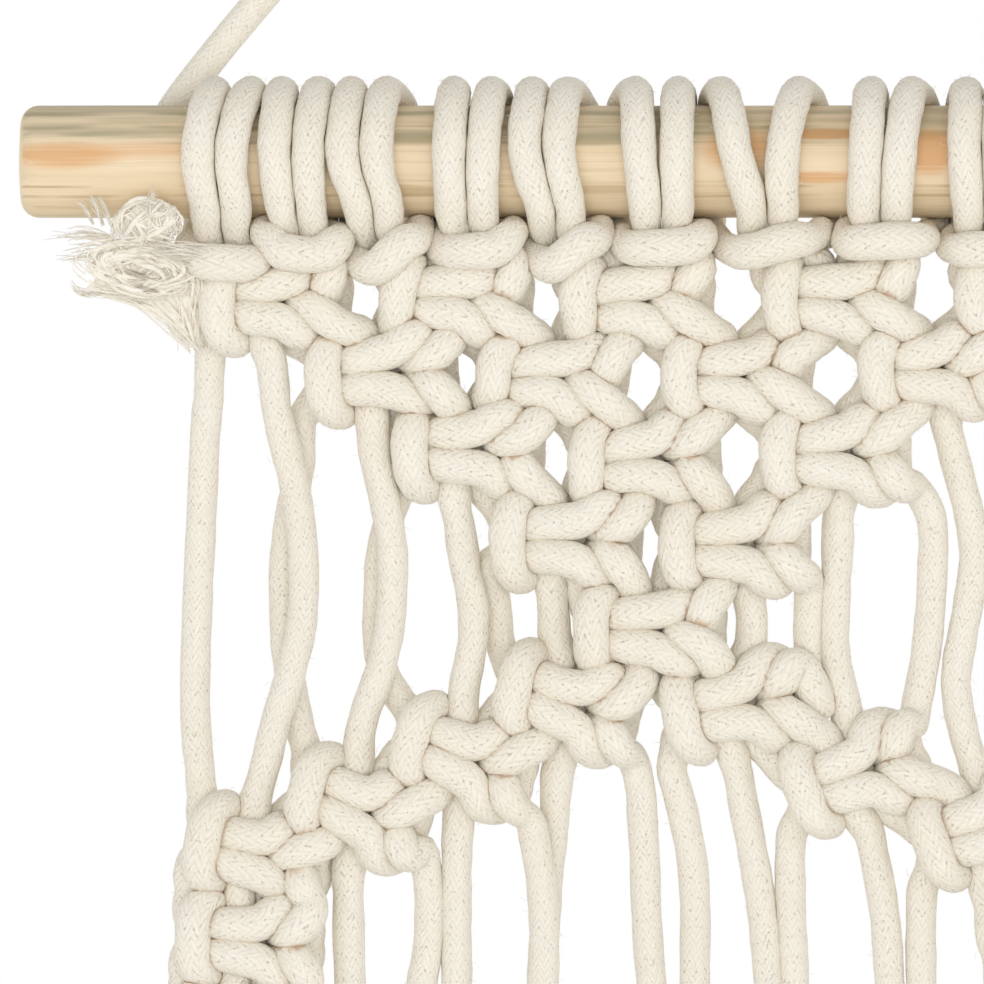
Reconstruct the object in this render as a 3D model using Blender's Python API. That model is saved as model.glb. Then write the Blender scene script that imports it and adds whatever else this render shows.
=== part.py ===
"""Macrame wall hanging on a wooden dowel.

Twenty cotton cords are folded in half and hung on the dowel with a lark's head each. Their forty strands
are tied in square knots: two triangles of alternating knots, a chevron under each, a short column of knots
at both edges and in the middle, and a plain trimmed fringe. A single cord tied behind the dowel's ends
hangs everything from one nail; its ends are frayed.

Metres, +Z up, the front faces -Y. The origin is where the hanging cord rests on the nail.
"""

import math
from collections import namedtuple

import bmesh
import bpy
import numpy as np
from mathutils import Vector

MM = 0.001

# Driving dimensions
CORD = 5.0 * MM                # diameter of the braided cotton cord
GAP = 0.3 * MM                 # clearance between touching pieces
DOWEL_SIZE = 18.0 * MM
DOWEL_LENGTH = 353.0 * MM
DOWEL_EDGE = 1.6 * MM          # rounding of the dowel's ends
DOWEL_DROP = 155.0 * MM        # from the nail down to the dowel's axis
DOWEL_FORWARD = 9.0 * MM       # the dowel's axis stands this far in front of the nail's contact
NET_FORWARD = 2.0 * MM         # the knotted net hangs this far in front of the dowel's axis
HEM_DROP = 450.0 * MM          # from the dowel's axis down to the trimmed fringe
STRANDS = 40

STRAND_HALF = 2.2 * MM         # half side of a strand's four-sided section
WRAP_RADIUS = 1.95 * MM        # a cord pressed on the dowel, as a five-sided tube
WRAP_SIDES = 5
WRAP_STEP = 36                 # degrees round the dowel between two sections of a wrap
SEAT = (DOWEL_SIZE / 2 + GAP + WRAP_RADIUS) / math.cos(math.radians(WRAP_STEP / 2))

# Square knots of the left half, in mm: the first of a knot's four strands, the knot's centre across and
# below the dowel's axis, and its width as a share of a full knot. The right half mirrors their places.
Knot = namedtuple("Knot", "name first x z wide")
LEFT_KNOTS = [
    Knot("row1_a", 1, -135.7, -22.7, 1.0),
    Knot("row1_b", 5, -106.1, -22.7, 1.0),
    Knot("row1_c", 9, -77.3, -22.7, 1.0),
    Knot("row1_d", 13, -45.3, -22.7, 1.0),
    Knot("row1_e", 17, -14.9, -22.7, 1.0),
    Knot("row2_a", 3, -118.1, -34.4, 1.0),
    Knot("row2_b", 7, -90.6, -35.0, 1.0),
    Knot("row2_c", 11, -60.8, -34.9, 1.0),
    Knot("row2_d", 15, -29.6, -34.4, 1.0),
    Knot("row3_a", 5, -104.2, -47.0, 1.0),
    Knot("row3_b", 9, -75.7, -48.2, 1.0),
    Knot("row3_c", 13, -45.3, -47.4, 1.0),
    Knot("row4_a", 7, -88.8, -61.4, 1.0),
    Knot("row4_b", 11, -61.3, -61.9, 1.0),
    Knot("row5_a", 9, -74.9, -75.4, 1.0),
    Knot("chevron1_a", 7, -88.9, -87.7, 0.92),
    Knot("chevron1_b", 11, -61.1, -88.2, 0.92),
    Knot("chevron2_a", 5, -105.3, -96.2, 0.86),
    Knot("chevron2_b", 13, -41.3, -98.2, 1.0),
    Knot("chevron3_a", 3, -121.8, -103.0, 0.86),
    Knot("chevron3_b", 15, -22.1, -107.8, 1.0),
    Knot("edge1", 1, -138.1, -110.0, 0.86),
    Knot("edge2", 1, -138.9, -123.4, 1.0),
    Knot("edge3", 1, -139.2, -136.8, 1.0),
    Knot("middle1", 17, -11.0, -119.9, 0.9),
]
MIDDLE_KNOTS = [
    Knot("middle2", 19, 0.0, -133.2, 1.0),
    Knot("middle3", 19, 0.0, -146.6, 1.0),
]

# A full knot's section by section, left to right, in mm: place across, half height, and how far the two
# bars, the groove between them and the back stand out. The upright ridge is at the left.
LUMP_COLUMNS = ("x", "reach", "bar", "groove", "back")
LUMP = [
    (-10.2, 2.2, 3.0, 3.6, 2.6),
    (-6.8, 4.9, 5.7, 6.2, 5.0),
    (-5.0, 5.4, 4.4, 4.2, 5.4),
    (-0.6, 5.8, 5.8, 3.6, 5.6),
    (0.4, 5.8, 5.8, 3.6, 5.6),
    (4.6, 5.4, 5.6, 3.2, 5.4),
    (6.6, 4.9, 5.0, 2.8, 5.0),
    (10.2, 2.2, 2.6, 2.2, 2.6),
]
LUMP_RIM = 2.1                 # half thickness of a knot along its rim, mm
BAR_HEIGHT = 0.46              # a bar's crest as a share of the knot's half height
BAR_FAN = 0.012                # more at the right, where the bars spread, for each mm

# Free runs of the strands between two knots, in mm: points across, below the dowel's axis, and forward.
LEFT_RUNS = {
    1: [(-146.4, -38.6, 0), (-147.5, -57.0, 0), (-148.3, -75.4, 0), (-148.0, -95.0, 0)],
    2: [(-135.6, -39.8, 2.8), (-131.7, -56.6, 2.8), (-131.4, -70.2, 2.8), (-134.4, -84.6, 3.0),
        (-138.6, -97.0, 2.0)],
    3: [(-131.2, -44.6, -2.8), (-134.1, -63.0, -2.8), (-133.9, -78.8, -3.0), (-130.0, -92.8, -2.4)],
    4: [(-121.0, -45.0, 3.0), (-119.4, -54.0, 3.0), (-116.8, -64.5, 2.8), (-117.9, -77.4, 2.8),
        (-122.6, -88.5, 2.0)],
    5: [(-116.4, -58.0, -2.9), (-119.2, -70.2, -2.9), (-116.8, -81.4, -2.8)],
    6: [(-106.8, -55.5, 3.0), (-104.2, -66.0, 3.0), (-104.4, -76.0, 3.0), (-105.8, -84.0, 2.4)],
    7: [(-99.4, -69.0, -2.9), (-98.2, -77.4, -2.8)],
    8: [(-91.6, -71.2, 0), (-91.6, -78.4, 0)],
    13: [(-59.0, -73.4, 0), (-58.8, -79.4, 0)],
    14: [(-50.1, -70.2, 0), (-50.7, -78.2, 0)],
    15: [(-45.4, -63.8, 0), (-45.8, -76.6, 0), (-42.4, -88.0, 0)],
    16: [(-31.4, -55.8, 0), (-30.4, -67.0, 0), (-31.0, -80.0, 0), (-33.0, -90.0, 0)],
    17: [(-26.6, -48.5, 0), (-23.7, -62.7, 0), (-24.6, -76.6, 0), (-23.4, -92.0, 0)],
    18: [(-18.4, -50.2, 0), (-17.0, -66.4, 0), (-16.6, -82.6, 0), (-15.0, -97.0, 0)],
    19: [(-11.7, -45.0, 0), (-11.0, -66.6, 0), (-10.7, -90.0, 0), (-9.6, -106.0, 0)],
    20: [(-4.6, -45.0, 0), (-4.2, -66.6, 0), (-4.0, -90.0, 0), (-3.8, -106.0, 0)],
}

# Where each fringe strand hangs, in mm: a point just under its last knot, then its place at the hem.
Fringe = namedtuple("Fringe", "x z hem forward")
LEFT_FRINGE = {
    1: Fringe(-147.6, -150.0, -149.5, 0), 2: Fringe(-142.0, -152.0, -143.0, 0),
    3: Fringe(-136.7, -152.0, -136.9, 0), 4: Fringe(-131.0, -150.0, -130.6, 0),
    5: Fringe(-121.2, -118.0, -123.4, 0), 6: Fringe(-111.6, -118.0, -114.0, 0),
    7: Fringe(-104.6, -112.0, -106.6, 0), 8: Fringe(-93.6, -113.0, -98.6, 2.4),
    9: Fringe(-88.4, -105.0, -91.4, -2.4), 10: Fringe(-76.5, -112.0, -78.4, 0),
    11: Fringe(-68.6, -115.0, -70.2, 0), 12: Fringe(-60.6, -112.0, -61.8, 0),
    13: Fringe(-51.2, -116.0, -53.4, 0), 14: Fringe(-41.6, -118.0, -44.6, 0),
    15: Fringe(-31.4, -122.0, -34.6, 0), 16: Fringe(-25.0, -124.0, -27.8, 0),
    17: Fringe(-19.9, -136.0, -20.9, 0), 18: Fringe(-14.5, -138.0, -14.7, 0),
    19: Fringe(-8.2, -160.0, -8.8, 0), 20: Fringe(-2.9, -162.0, -3.0, 0),
}
FRINGE_RINGS = 4               # further sections between the knot and the hem
FRINGE_SWAY = 0.7              # how far a strand wanders sideways, mm
HEM_UNEVEN = 1.6               # how far the trimmed ends differ, mm

# Lark's heads of the left half, in mm: the middle of the two wraps on the dowel's front and on its top,
# half their spacing at the top, and the bar's centre, half length, height below the axis and rise.
Head = namedtuple("Head", "front top spread bar half drop rise")
LEFT_HEADS = [
    Head(-145.4, -142.6, 2.6, -143.9, 4.0, 14.8, 0.0),
    Head(-133.3, -132.0, 2.6, -131.2, 4.3, 14.2, -0.3),
    Head(-122.7, -121.1, 2.7, -117.0, 4.9, 14.2, 1.6),
    Head(-105.4, -104.2, 2.9, -103.4, 4.4, 13.6, 0.0),
    Head(-93.4, -92.0, 2.7, -88.5, 5.2, 14.0, 1.4),
    Head(-74.5, -75.0, 3.4, -73.6, 5.3, 13.5, 0.0),
    Head(-58.8, -58.2, 6.2, -56.5, 6.3, 13.5, 1.0),
    Head(-38.9, -36.8, 3.4, -38.1, 6.6, 13.5, 0.0),
    Head(-23.2, -22.2, 2.6, -21.8, 4.9, 13.9, 0.2),
    Head(-8.4, -8.0, 2.6, -7.9, 4.6, 13.6, 0.0),
]
WRAP_SPACING = 2.35            # half the distance between two wraps on the front, mm
LEG_TOP = -16.6                # where the strands leave a lark's head, mm below the dowel's axis
LEG_FORWARD = 2.4              # and how far in front of the dowel's axis, mm

# The hanging cord's left half, in mm from the dowel's axis: across, up, and forward.
HANGER = [
    (-157.2, 0.5, -11.9), (-154.6, 5.0, -11.8), (-151.6, 9.4, -11.2), (-146.1, 16.4, -10.4),
    (-138.4, 25.8, -9.6), (-120.0, 46.3, -9.0), (-100.0, 67.6, -9.0), (-80.0, 88.3, -9.0),
    (-60.0, 108.3, -9.0), (-40.0, 127.6, -9.0), (-24.0, 142.3, -9.0), (-12.0, 152.0, -9.0),
    (-5.0, 156.4, -9.0), (0.0, 157.5, -9.0),
]
HANGER_POINTS = 71

# Locks of the frayed end at the left, in mm from the knot it starts from: three points down its length
# (across, up, forward) and its half thickness at the root.
Lock = namedtuple("Lock", "near mid tip thick")
TAIL_KNOT = (-156.0, -13.4, 12.6)
TAIL_LOCKS = [
    Lock((4.0, -5.0, 2.4), (6.4, -11.0, 1.6), (9.0, -20.0, 0.2), 1.5),
    Lock((0.5, -6.0, 2.4), (3.4, -11.5, 2.0), (7.0, -17.6, 1.0), 1.4),
    Lock((-4.0, -4.4, 1.6), (-7.0, -7.4, 1.6), (-4.8, -11.4, 1.8), 1.2),
    Lock((-6.0, -2.0, 0.6), (-10.4, -2.8, 1.4), (-15.4, -5.6, 2.0), 0.9),
    Lock((-6.0, 0.8, 0.4), (-9.6, 2.2, 0.8), (-13.0, 3.0, 1.0), 0.8),
    Lock((-4.4, -5.6, -1.0), (-9.6, -8.4, -0.6), (-13.8, -8.0, 0.0), 0.8),
]

# Finishes: base colour, roughness and metallic of each material
FINISH = {
    "cotton": ((0.80, 0.74, 0.62), 0.95, 0.0),
    "pine": ((0.66, 0.46, 0.26), 0.62, 0.0),
}


def clear_scene():
    for item in list(bpy.data.objects):
        bpy.data.objects.remove(item, do_unlink=True)


def material(name):
    """A Principled material of the named finish, made once."""
    if name in bpy.data.materials:
        return bpy.data.materials[name]
    colour, roughness, metallic = FINISH[name]
    made = bpy.data.materials.new(name)
    made.use_nodes = True
    shader = made.node_tree.nodes["Principled BSDF"]
    shader.inputs["Base Color"].default_value = (*colour, 1.0)
    shader.inputs["Roughness"].default_value = roughness
    shader.inputs["Metallic"].default_value = metallic
    return made


def place(x, z, forward):
    """World point of a place given in mm from the dowel's axis: across, up, and towards the viewer."""
    return Vector((x * MM, -DOWEL_FORWARD - forward * MM, z * MM - DOWEL_DROP))


def add_mesh(name, finish, points, faces, smooth=False):
    """One closed body from points and faces, its faces turned outwards."""
    mesh = bpy.data.meshes.new(name)
    body = bmesh.new()
    made = [body.verts.new(point) for point in points]
    for face in faces:
        body.faces.new([made[index] for index in face])
    bmesh.ops.recalc_face_normals(body, faces=body.faces)
    body.to_mesh(mesh)
    body.free()
    mesh.materials.append(material(finish))
    if smooth:
        mesh.shade_smooth()
        mesh.set_sharp_from_angle(angle=math.radians(40))
    item = bpy.data.objects.new(name, mesh)
    bpy.context.scene.collection.objects.link(item)
    return item


def smooth_route(points, count):
    """Evenly spaced points on a smooth curve (Catmull-Rom) through the given ones."""
    given = np.array(points, dtype=float)
    padded = np.vstack([2 * given[0] - given[1], given, 2 * given[-1] - given[-2]])
    dense = []
    for index in range(len(given) - 1):
        before, start, end, after = padded[index:index + 4]
        for share in np.linspace(0.0, 1.0, 24, endpoint=False):
            dense.append(0.5 * (2 * start + (end - before) * share
                                + (2 * before - 5 * start + 4 * end - after) * share ** 2
                                + (3 * start - before - 3 * end + after) * share ** 3))
    dense = np.array(dense + [given[-1]])
    along = np.concatenate([[0.0], np.cumsum(np.linalg.norm(np.diff(dense, axis=0), axis=1))])
    wanted = np.linspace(0.0, along[-1], count)
    return np.stack([np.interp(wanted, along, dense[:, axis]) for axis in range(3)], axis=1)


def tube(route, radius, sides):
    """Points and faces of a capped tube round a route, its rings carried along without twist."""
    route = [Vector(point) for point in route]
    points = []
    faces = []
    side = None
    for index, centre in enumerate(route):
        after = route[min(index + 1, len(route) - 1)]
        before = route[max(index - 1, 0)]
        heading = (after - before).normalized()
        if side is None:
            side = heading.cross(Vector((0.3, 1.0, 0.2))).normalized()
        side = (side - heading * side.dot(heading)).normalized()
        other = heading.cross(side)
        for turn in range(sides):
            angle = 2 * math.pi * turn / sides
            points.append(centre + side * (radius * math.cos(angle)) + other * (radius * math.sin(angle)))
    for ring in range(len(route) - 1):
        low = ring * sides
        for turn in range(sides):
            after = (turn + 1) % sides
            faces.append((low + turn, low + after, low + sides + after, low + sides + turn))
    faces.append(tuple(range(sides)))
    faces.append(tuple(range(len(points) - sides, len(points))))
    return points, faces


# Dowel

def make_dowel():
    """A round rod with softened ends."""
    radius = DOWEL_SIZE / 2
    steps = [(0.0, radius - DOWEL_EDGE), (0.3 * DOWEL_EDGE, radius - 0.3 * DOWEL_EDGE), (DOWEL_EDGE, radius)]
    half = DOWEL_LENGTH / 2
    profile = [(-half + inset, size) for inset, size in steps]
    profile += [(half - inset, size) for inset, size in reversed(steps)]
    sides = 28
    points = []
    faces = []
    for across, size in profile:
        for turn in range(sides):
            angle = 2 * math.pi * turn / sides
            points.append(Vector((across, -DOWEL_FORWARD - size * math.cos(angle),
                                  size * math.sin(angle) - DOWEL_DROP)))
    for ring in range(len(profile) - 1):
        low = ring * sides
        for turn in range(sides):
            after = (turn + 1) % sides
            faces.append((low + turn, low + after, low + sides + after, low + sides + turn))
    faces.append(tuple(range(sides)))
    faces.append(tuple(range(len(points) - sides, len(points))))
    return add_mesh("dowel", "pine", points, faces, smooth=True)


# Hanging cord

def make_hanging_cord():
    """The cord between the dowel's ends, over the nail, as a round tube on a smooth route."""
    left = [place(x, z, forward) for x, z, forward in HANGER]
    right = [Vector((-point.x, point.y, point.z)) for point in reversed(left[:-1])]
    route = smooth_route(left + right, HANGER_POINTS)
    curve = bpy.data.curves.new("hanging_cord", "CURVE")
    curve.dimensions = "3D"
    curve.bevel_depth = CORD / 2
    curve.bevel_resolution = 2
    curve.use_fill_caps = True
    spline = curve.splines.new("POLY")
    spline.points.add(len(route) - 1)
    for point, spot in zip(spline.points, route):
        point.co = (*spot, 1.0)
    curve.materials.append(material("cotton"))
    item = bpy.data.objects.new("hanging_cord", curve)
    bpy.context.scene.collection.objects.link(item)
    return item


# Lark's heads

def mirrored_head(head):
    return head._replace(front=-head.front, top=-head.top, bar=-head.bar, rise=-head.rise)


def head_half(head, side):
    """Half of a lark's head, from the wrap's lower end in front, over the dowel, to the bar's middle."""
    seat = SEAT / MM
    front = head.front + side * WRAP_SPACING
    top = head.top + side * head.spread
    back = head.bar + side * head.half
    points = []
    for degrees in (-WRAP_STEP, *range(0, 217, WRAP_STEP), 250):
        angle = math.radians(degrees)
        x = np.interp(degrees, (0, 90, 180), (front, top, back))
        points.append(place(x, seat * math.sin(angle), seat * math.cos(angle)))
    level = -head.drop + side * head.rise
    points.append(place(head.bar + side * (head.half + 0.1), 0.6 * level - 5.2, 5.6))
    points.append(place(head.bar + side * (head.half - 1.0), level, 9.2))
    return points


def make_heads():
    """Twenty lark's heads: two wraps over the dowel, joined by a bar in front, each one tube."""
    heads = LEFT_HEADS + [mirrored_head(head) for head in reversed(LEFT_HEADS)]
    for index, head in enumerate(heads):
        left = head_half(head, -1)
        right = head_half(head, 1)
        middle = place(head.bar, -head.drop, 10.6)
        points, faces = tube(left + [middle] + right[::-1], WRAP_RADIUS, WRAP_SIDES)
        add_mesh(f"larks_head_{index + 1:02d}", "cotton", points, faces)


# Knotted net

class Net:
    """Collects the knots and strands of the net as one mesh."""

    def __init__(self):
        self.points = []
        self.faces = []

    def add(self, x, z, forward):
        self.points.append(place(x, z, forward + NET_FORWARD / MM))
        return len(self.points) - 1

    def knot(self, knot):
        """A ridged knot, with four ports above and four below: the strands grow out of its ports."""
        columns = [dict(zip(LUMP_COLUMNS, row)) for row in LUMP]
        front = []
        for share in (1, BAR_HEIGHT, 0, -BAR_HEIGHT, -1):
            row = []
            for column in columns:
                x = column["x"] * knot.wide
                fan = math.copysign(BAR_FAN * column["x"], share) if 0 < abs(share) < 1 else 0.0
                stand = {1: LUMP_RIM, 0: column["groove"]}.get(abs(share), column["bar"])
                row.append(self.add(knot.x + x, knot.z + (share + fan) * column["reach"], stand))
            front.append(row)
        back = []
        for share in (1, 0, -1):
            stand = [LUMP_RIM if share else column["back"] for column in columns]
            back.append([self.add(knot.x + column["x"] * knot.wide, knot.z + share * column["reach"], -depth)
                         for column, depth in zip(columns, stand)])
        for grid in (front, back):
            for upper, lower in zip(grid, grid[1:]):
                for index in range(len(upper) - 1):
                    self.faces.append((upper[index], upper[index + 1], lower[index + 1], lower[index]))
        for edge in (0, -1):
            rim = [row[edge] for row in front]
            behind = [row[edge] for row in back]
            self.faces += [(rim[0], rim[1], behind[0]), (rim[1], rim[2], behind[1], behind[0]),
                           (rim[2], rim[3], behind[2], behind[1]), (rim[3], rim[4], behind[2])]
        ports = {}
        for end, level in (("top", 0), ("bottom", -1)):
            rim = front[level]
            behind = back[level]
            for index in range(len(rim) - 1):
                ring = (rim[index], rim[index + 1], behind[index + 1], behind[index])
                if index % 2:
                    self.faces.append(ring)
                else:
                    ports[end, index // 2] = ring
        return ports

    def ring(self, x, z, forward, heading):
        """A strand's four-sided section square to its heading (across, up)."""
        size = math.hypot(*heading)
        right = (-heading[1] / size * STRAND_HALF / MM, heading[0] / size * STRAND_HALF / MM)
        depth = STRAND_HALF / MM
        return (self.add(x - right[0], z - right[1], forward + depth),
                self.add(x + right[0], z + right[1], forward + depth),
                self.add(x + right[0], z + right[1], forward - depth),
                self.add(x - right[0], z - right[1], forward - depth))

    def join(self, upper, lower):
        """Four walls between two sections of a strand."""
        for index in range(4):
            after = (index + 1) % 4
            self.faces.append((upper[index], lower[index], lower[after], upper[after]))

    def middle(self, ring):
        """A section's centre in mm, as it was given."""
        centre = sum((self.points[index] for index in ring), Vector()) / 4
        return centre.x / MM, (centre.z + DOWEL_DROP) / MM

    def strand(self, upper, places, lower=None):
        """A strand from one section through the given places to another section, or to a cut end."""
        centres = [self.middle(upper)] + [spot[:2] for spot in places]
        if lower:
            centres.append(self.middle(lower))
        last = upper
        for index, (x, z, forward) in enumerate(places, start=1):
            before = centres[index - 1]
            after = centres[min(index + 1, len(centres) - 1)]
            here = self.ring(x, z, forward, (after[0] - before[0], after[1] - before[1]))
            self.join(last, here)
            last = here
        if lower:
            self.join(last, lower)
        else:
            self.faces.append(last)


def all_knots():
    """The left half's knots, the middle ones, and the right half's, which take the strands counted back."""
    knots = LEFT_KNOTS + MIDDLE_KNOTS
    for index, knot in enumerate(LEFT_KNOTS):
        uneven = 0.3 * math.sin(2.3 * index)
        knots = knots + [knot._replace(name=knot.name + "_right", first=STRANDS - 2 - knot.first,
                                       x=-knot.x, z=knot.z + (uneven if knot.wide == 1.0 else 0.0))]
    return knots


def half_row(table, strand):
    """A left-half table's row for any strand, with the sign to give its places across."""
    if strand <= STRANDS // 2:
        return table.get(strand), 1
    return table.get(STRANDS + 1 - strand), -1


def is_tight(upper, lower):
    """Whether two knots of a chevron sit so close that their two shared strands run as one."""
    return abs(upper.first - lower.first) == 2 and upper.z - lower.z < 10.6


def make_net():
    """The whole net as one solid: knots, the strands between them, and the fringe."""
    net = Net()
    knots = sorted(all_knots(), key=lambda knot: -knot.z)
    ports = {knot.name: net.knot(knot) for knot in knots}
    open_ports = {(name, end, port) for name, ends in ports.items() for end, port in ends}

    def take(knot, end, port):
        open_ports.discard((knot.name, end, port))
        return ports[knot.name][end, port]

    heads = LEFT_HEADS + [mirrored_head(head) for head in reversed(LEFT_HEADS)]
    for strand in range(1, STRANDS + 1):
        route = [knot for knot in knots if knot.first <= strand < knot.first + 4]
        first = route[0]
        port = strand - first.first
        lower = take(first, "top", port)
        x = net.middle(lower)[0]
        head = heads[(strand - 1) // 2]
        leave = head.bar + (WRAP_SPACING if strand % 2 == 0 else -WRAP_SPACING)
        leg = net.ring(x + 0.3 * (leave - x), LEG_TOP, LEG_FORWARD - NET_FORWARD / MM, (0, -1))
        net.faces.append(leg[::-1])
        net.join(leg, lower)
        for upper, lower in zip(route, route[1:]):
            start = strand - upper.first
            end = strand - lower.first
            if is_tight(upper, lower):
                outer = (0, 3) if lower.x < upper.x else (3, 0)
                if start == outer[0]:
                    net.join(take(upper, "bottom", outer[0]), take(lower, "top", outer[1]))
                continue
            run, sign = half_row(LEFT_RUNS, strand)
            free = abs(upper.z - lower.z) > 16
            places = [(sign * x, z, forward) for x, z, forward in run] if free else []
            net.strand(take(upper, "bottom", start), places, take(lower, "top", end))
        last = route[-1]
        fringe, sign = half_row(LEFT_FRINGE, strand)
        hem = -HEM_DROP / MM + HEM_UNEVEN * math.sin(2.1 * strand)
        places = [(sign * fringe.x, fringe.z, fringe.forward)]
        for step in range(1, FRINGE_RINGS + 2):
            share = step / (FRINGE_RINGS + 1)
            sway = FRINGE_SWAY * math.sin(3.0 * share + 1.7 * strand) * (share < 1)
            across = fringe.x + (fringe.hem - fringe.x) * share
            places.append((sign * across + sway, fringe.z + (hem - fringe.z) * share, fringe.forward))
        net.strand(take(last, "bottom", strand - last.first), places)
    for name, end, port in sorted(open_ports):
        net.faces.append(ports[name][end, port])
    return add_mesh("macrame", "cotton", net.points, net.faces)


# Frayed ends of the hanging cord

def make_tail(name, side):
    """The hanging cord's end: it passes behind and under the dowel, and frays into a tuft in front."""
    seat = (DOWEL_SIZE / 2 + GAP + CORD / 2) / math.cos(math.radians(13))
    knot = Vector(TAIL_KNOT)
    points = [place(side * -157.6, -0.5 - GAP / MM, -11.9)]
    for degrees in (200, 225, 250, 275, 298):
        angle = math.radians(degrees)
        points.append(place(side * (-157.6 + (degrees - 180) * 0.012), seat / MM * math.sin(angle),
                            seat / MM * math.cos(angle)))
    points.append(place(side * knot.x, knot.y, knot.z))
    tuft_points, tuft_faces = tube(points, CORD / 2, 6)
    body = add_mesh(name, "cotton", tuft_points, tuft_faces)
    for index, lock in enumerate(TAIL_LOCKS):
        spots = [Vector((-0.3, 0.2, -0.4)), Vector(lock.near), Vector(lock.mid), Vector(lock.tip)]
        spots = [place(side * (knot.x + spot.x), knot.y + spot.y, knot.z + spot.z) for spot in spots]
        sizes = [lock.thick, lock.thick, 0.7 * lock.thick, 0.25 * lock.thick]
        lock_points, lock_faces = tube(spots, 1.0, 4)
        for ring, size in enumerate(sizes):
            for corner in range(4):
                at = ring * 4 + corner
                lock_points[at] = spots[ring] + (lock_points[at] - spots[ring]) * size * MM
        cutter = add_mesh(f"{name}_lock{index}", "cotton", lock_points, lock_faces)
        cutter.hide_render = True
        cutter.display_type = "WIRE"
        union = body.modifiers.new(f"lock{index}", "BOOLEAN")
        union.operation = "UNION"
        union.solver = "EXACT"
        union.object = cutter
    return body


clear_scene()
make_dowel()
make_hanging_cord()
make_heads()
make_net()
make_tail("frayed_tail_left", 1)
make_tail("frayed_tail_right", -1)
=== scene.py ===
# Macrame wall hanging: braided cotton cords knotted on a pine dowel.
import math

import bpy
import numpy as np
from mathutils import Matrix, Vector


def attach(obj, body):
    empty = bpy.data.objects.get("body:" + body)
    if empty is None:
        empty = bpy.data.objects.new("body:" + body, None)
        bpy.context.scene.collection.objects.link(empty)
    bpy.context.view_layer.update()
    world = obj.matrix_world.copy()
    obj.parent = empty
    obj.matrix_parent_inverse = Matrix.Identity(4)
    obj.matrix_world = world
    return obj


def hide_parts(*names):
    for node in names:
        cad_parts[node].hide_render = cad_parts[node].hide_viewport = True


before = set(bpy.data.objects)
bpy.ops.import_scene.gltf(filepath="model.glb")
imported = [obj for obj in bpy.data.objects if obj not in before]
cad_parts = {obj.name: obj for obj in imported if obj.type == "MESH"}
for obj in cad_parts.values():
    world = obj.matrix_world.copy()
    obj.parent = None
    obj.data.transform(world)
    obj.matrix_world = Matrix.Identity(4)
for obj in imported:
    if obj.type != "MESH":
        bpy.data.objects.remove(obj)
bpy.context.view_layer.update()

mm = 0.001
tiny = 1e-9            # keeps a division from meeting nought
noLimit = 9.0          # a radius that no cord reaches, mm
rng = np.random.default_rng(7)

# Places below are in mm from the dowel's axis: across, up, and forward to the viewer.
hanging = dict(
    cord=5.0,              # diameter of the braided cord
    dowelSize=18.0,
    dowelDrop=155.0,       # from the nail to the dowel's axis
    dowelForward=9.0,      # the dowel's axis in front of the nail's contact
    netForward=2.0,        # the knots' middle in front of the dowel's axis
    hemDrop=450.0,
    strands=40,
)


# World points of places given in mm from the dowel's axis: an offset and a change of axes.
def toWorld(places):
    places = np.asarray(places, dtype=float)
    across, up, forward = places[..., 0], places[..., 1], places[..., 2]
    return np.stack([across * mm,
                     -(hanging["dowelForward"] + forward) * mm,
                     (up - hanging["dowelDrop"]) * mm], axis=-1)


view = dict(
    middle=(-100.96, -52.96),   # the view's middle, mm across and up from the dowel's axis
    width=157.44,               # width of the view at the net, mm
    distance=1.9,               # m
    sensor=36.0,
)


# Camera: straight at the front, over the upper left quarter. Its lens is the sensor's width times
# the distance over the view's width.
def makeCamera():
    data = bpy.data.cameras.new("camera")
    data.sensor_width = view["sensor"]
    data.lens = view["sensor"] * view["distance"] / (view["width"] * mm)
    data.clip_start = 0.05
    item = bpy.data.objects.new("camera", data)
    spot = toWorld((view["middle"][0], view["middle"][1], 4.0))
    item.location = (spot[0], spot[1] - view["distance"], spot[2])
    item.rotation_euler = (math.pi / 2, 0.0, 0.0)
    bpy.context.scene.collection.objects.link(item)
    bpy.context.scene.camera = item


# Any node: its settings are set first, then its sockets, by name or number, get values or links.
def addNode(tree, kind, settings=None, sockets=None):
    node = tree.nodes.new(kind)
    for key, value in (settings or {}).items():
        setattr(node, key, value)
    for key, value in (sockets or {}).items():
        if isinstance(value, Wire):
            tree.links.new(value.socket, node.inputs[key])
        else:
            node.inputs[key].default_value = value
    return [Wire(tree, output) for output in node.outputs]


# A socket that can be used in sums: each operator adds a Math node and gives back its output.
class Wire:
    def __init__(self, tree, socket):
        self.tree = tree
        self.socket = socket

    def math(self, operation, *values):
        return addNode(self.tree, "ShaderNodeMath", {"operation": operation},
                       dict(enumerate(values)))[0]

    def __add__(self, other):
        return self.math("ADD", self, other)

    def __radd__(self, other):
        return self.math("ADD", other, self)

    def __sub__(self, other):
        return self.math("SUBTRACT", self, other)

    def __rsub__(self, other):
        return self.math("SUBTRACT", other, self)

    def __mul__(self, other):
        return self.math("MULTIPLY", self, other)

    def __rmul__(self, other):
        return self.math("MULTIPLY", other, self)

    def __truediv__(self, other):
        return self.math("DIVIDE", self, other)

    def __rtruediv__(self, other):
        return self.math("DIVIDE", other, self)

    def __pow__(self, other):
        return self.math("POWER", self, other)

    def __rpow__(self, other):
        return self.math("POWER", other, self)

    def fract(self):
        return self.math("FRACT", self)

    def floor(self):
        return self.math("FLOOR", self)

    def sine(self):
        return self.math("SINE", self)

    def absolute(self):
        return self.math("ABSOLUTE", self)

    def lesser(self, other):
        return self.math("MINIMUM", self, other)

    # 0 below low, 1 above high, smooth between
    def ramp(self, low, high):
        return addNode(self.tree, "ShaderNodeMapRange", {"interpolation_type": "SMOOTHSTEP"},
                       {"Value": self, "From Min": low, "From Max": high})[0]


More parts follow.
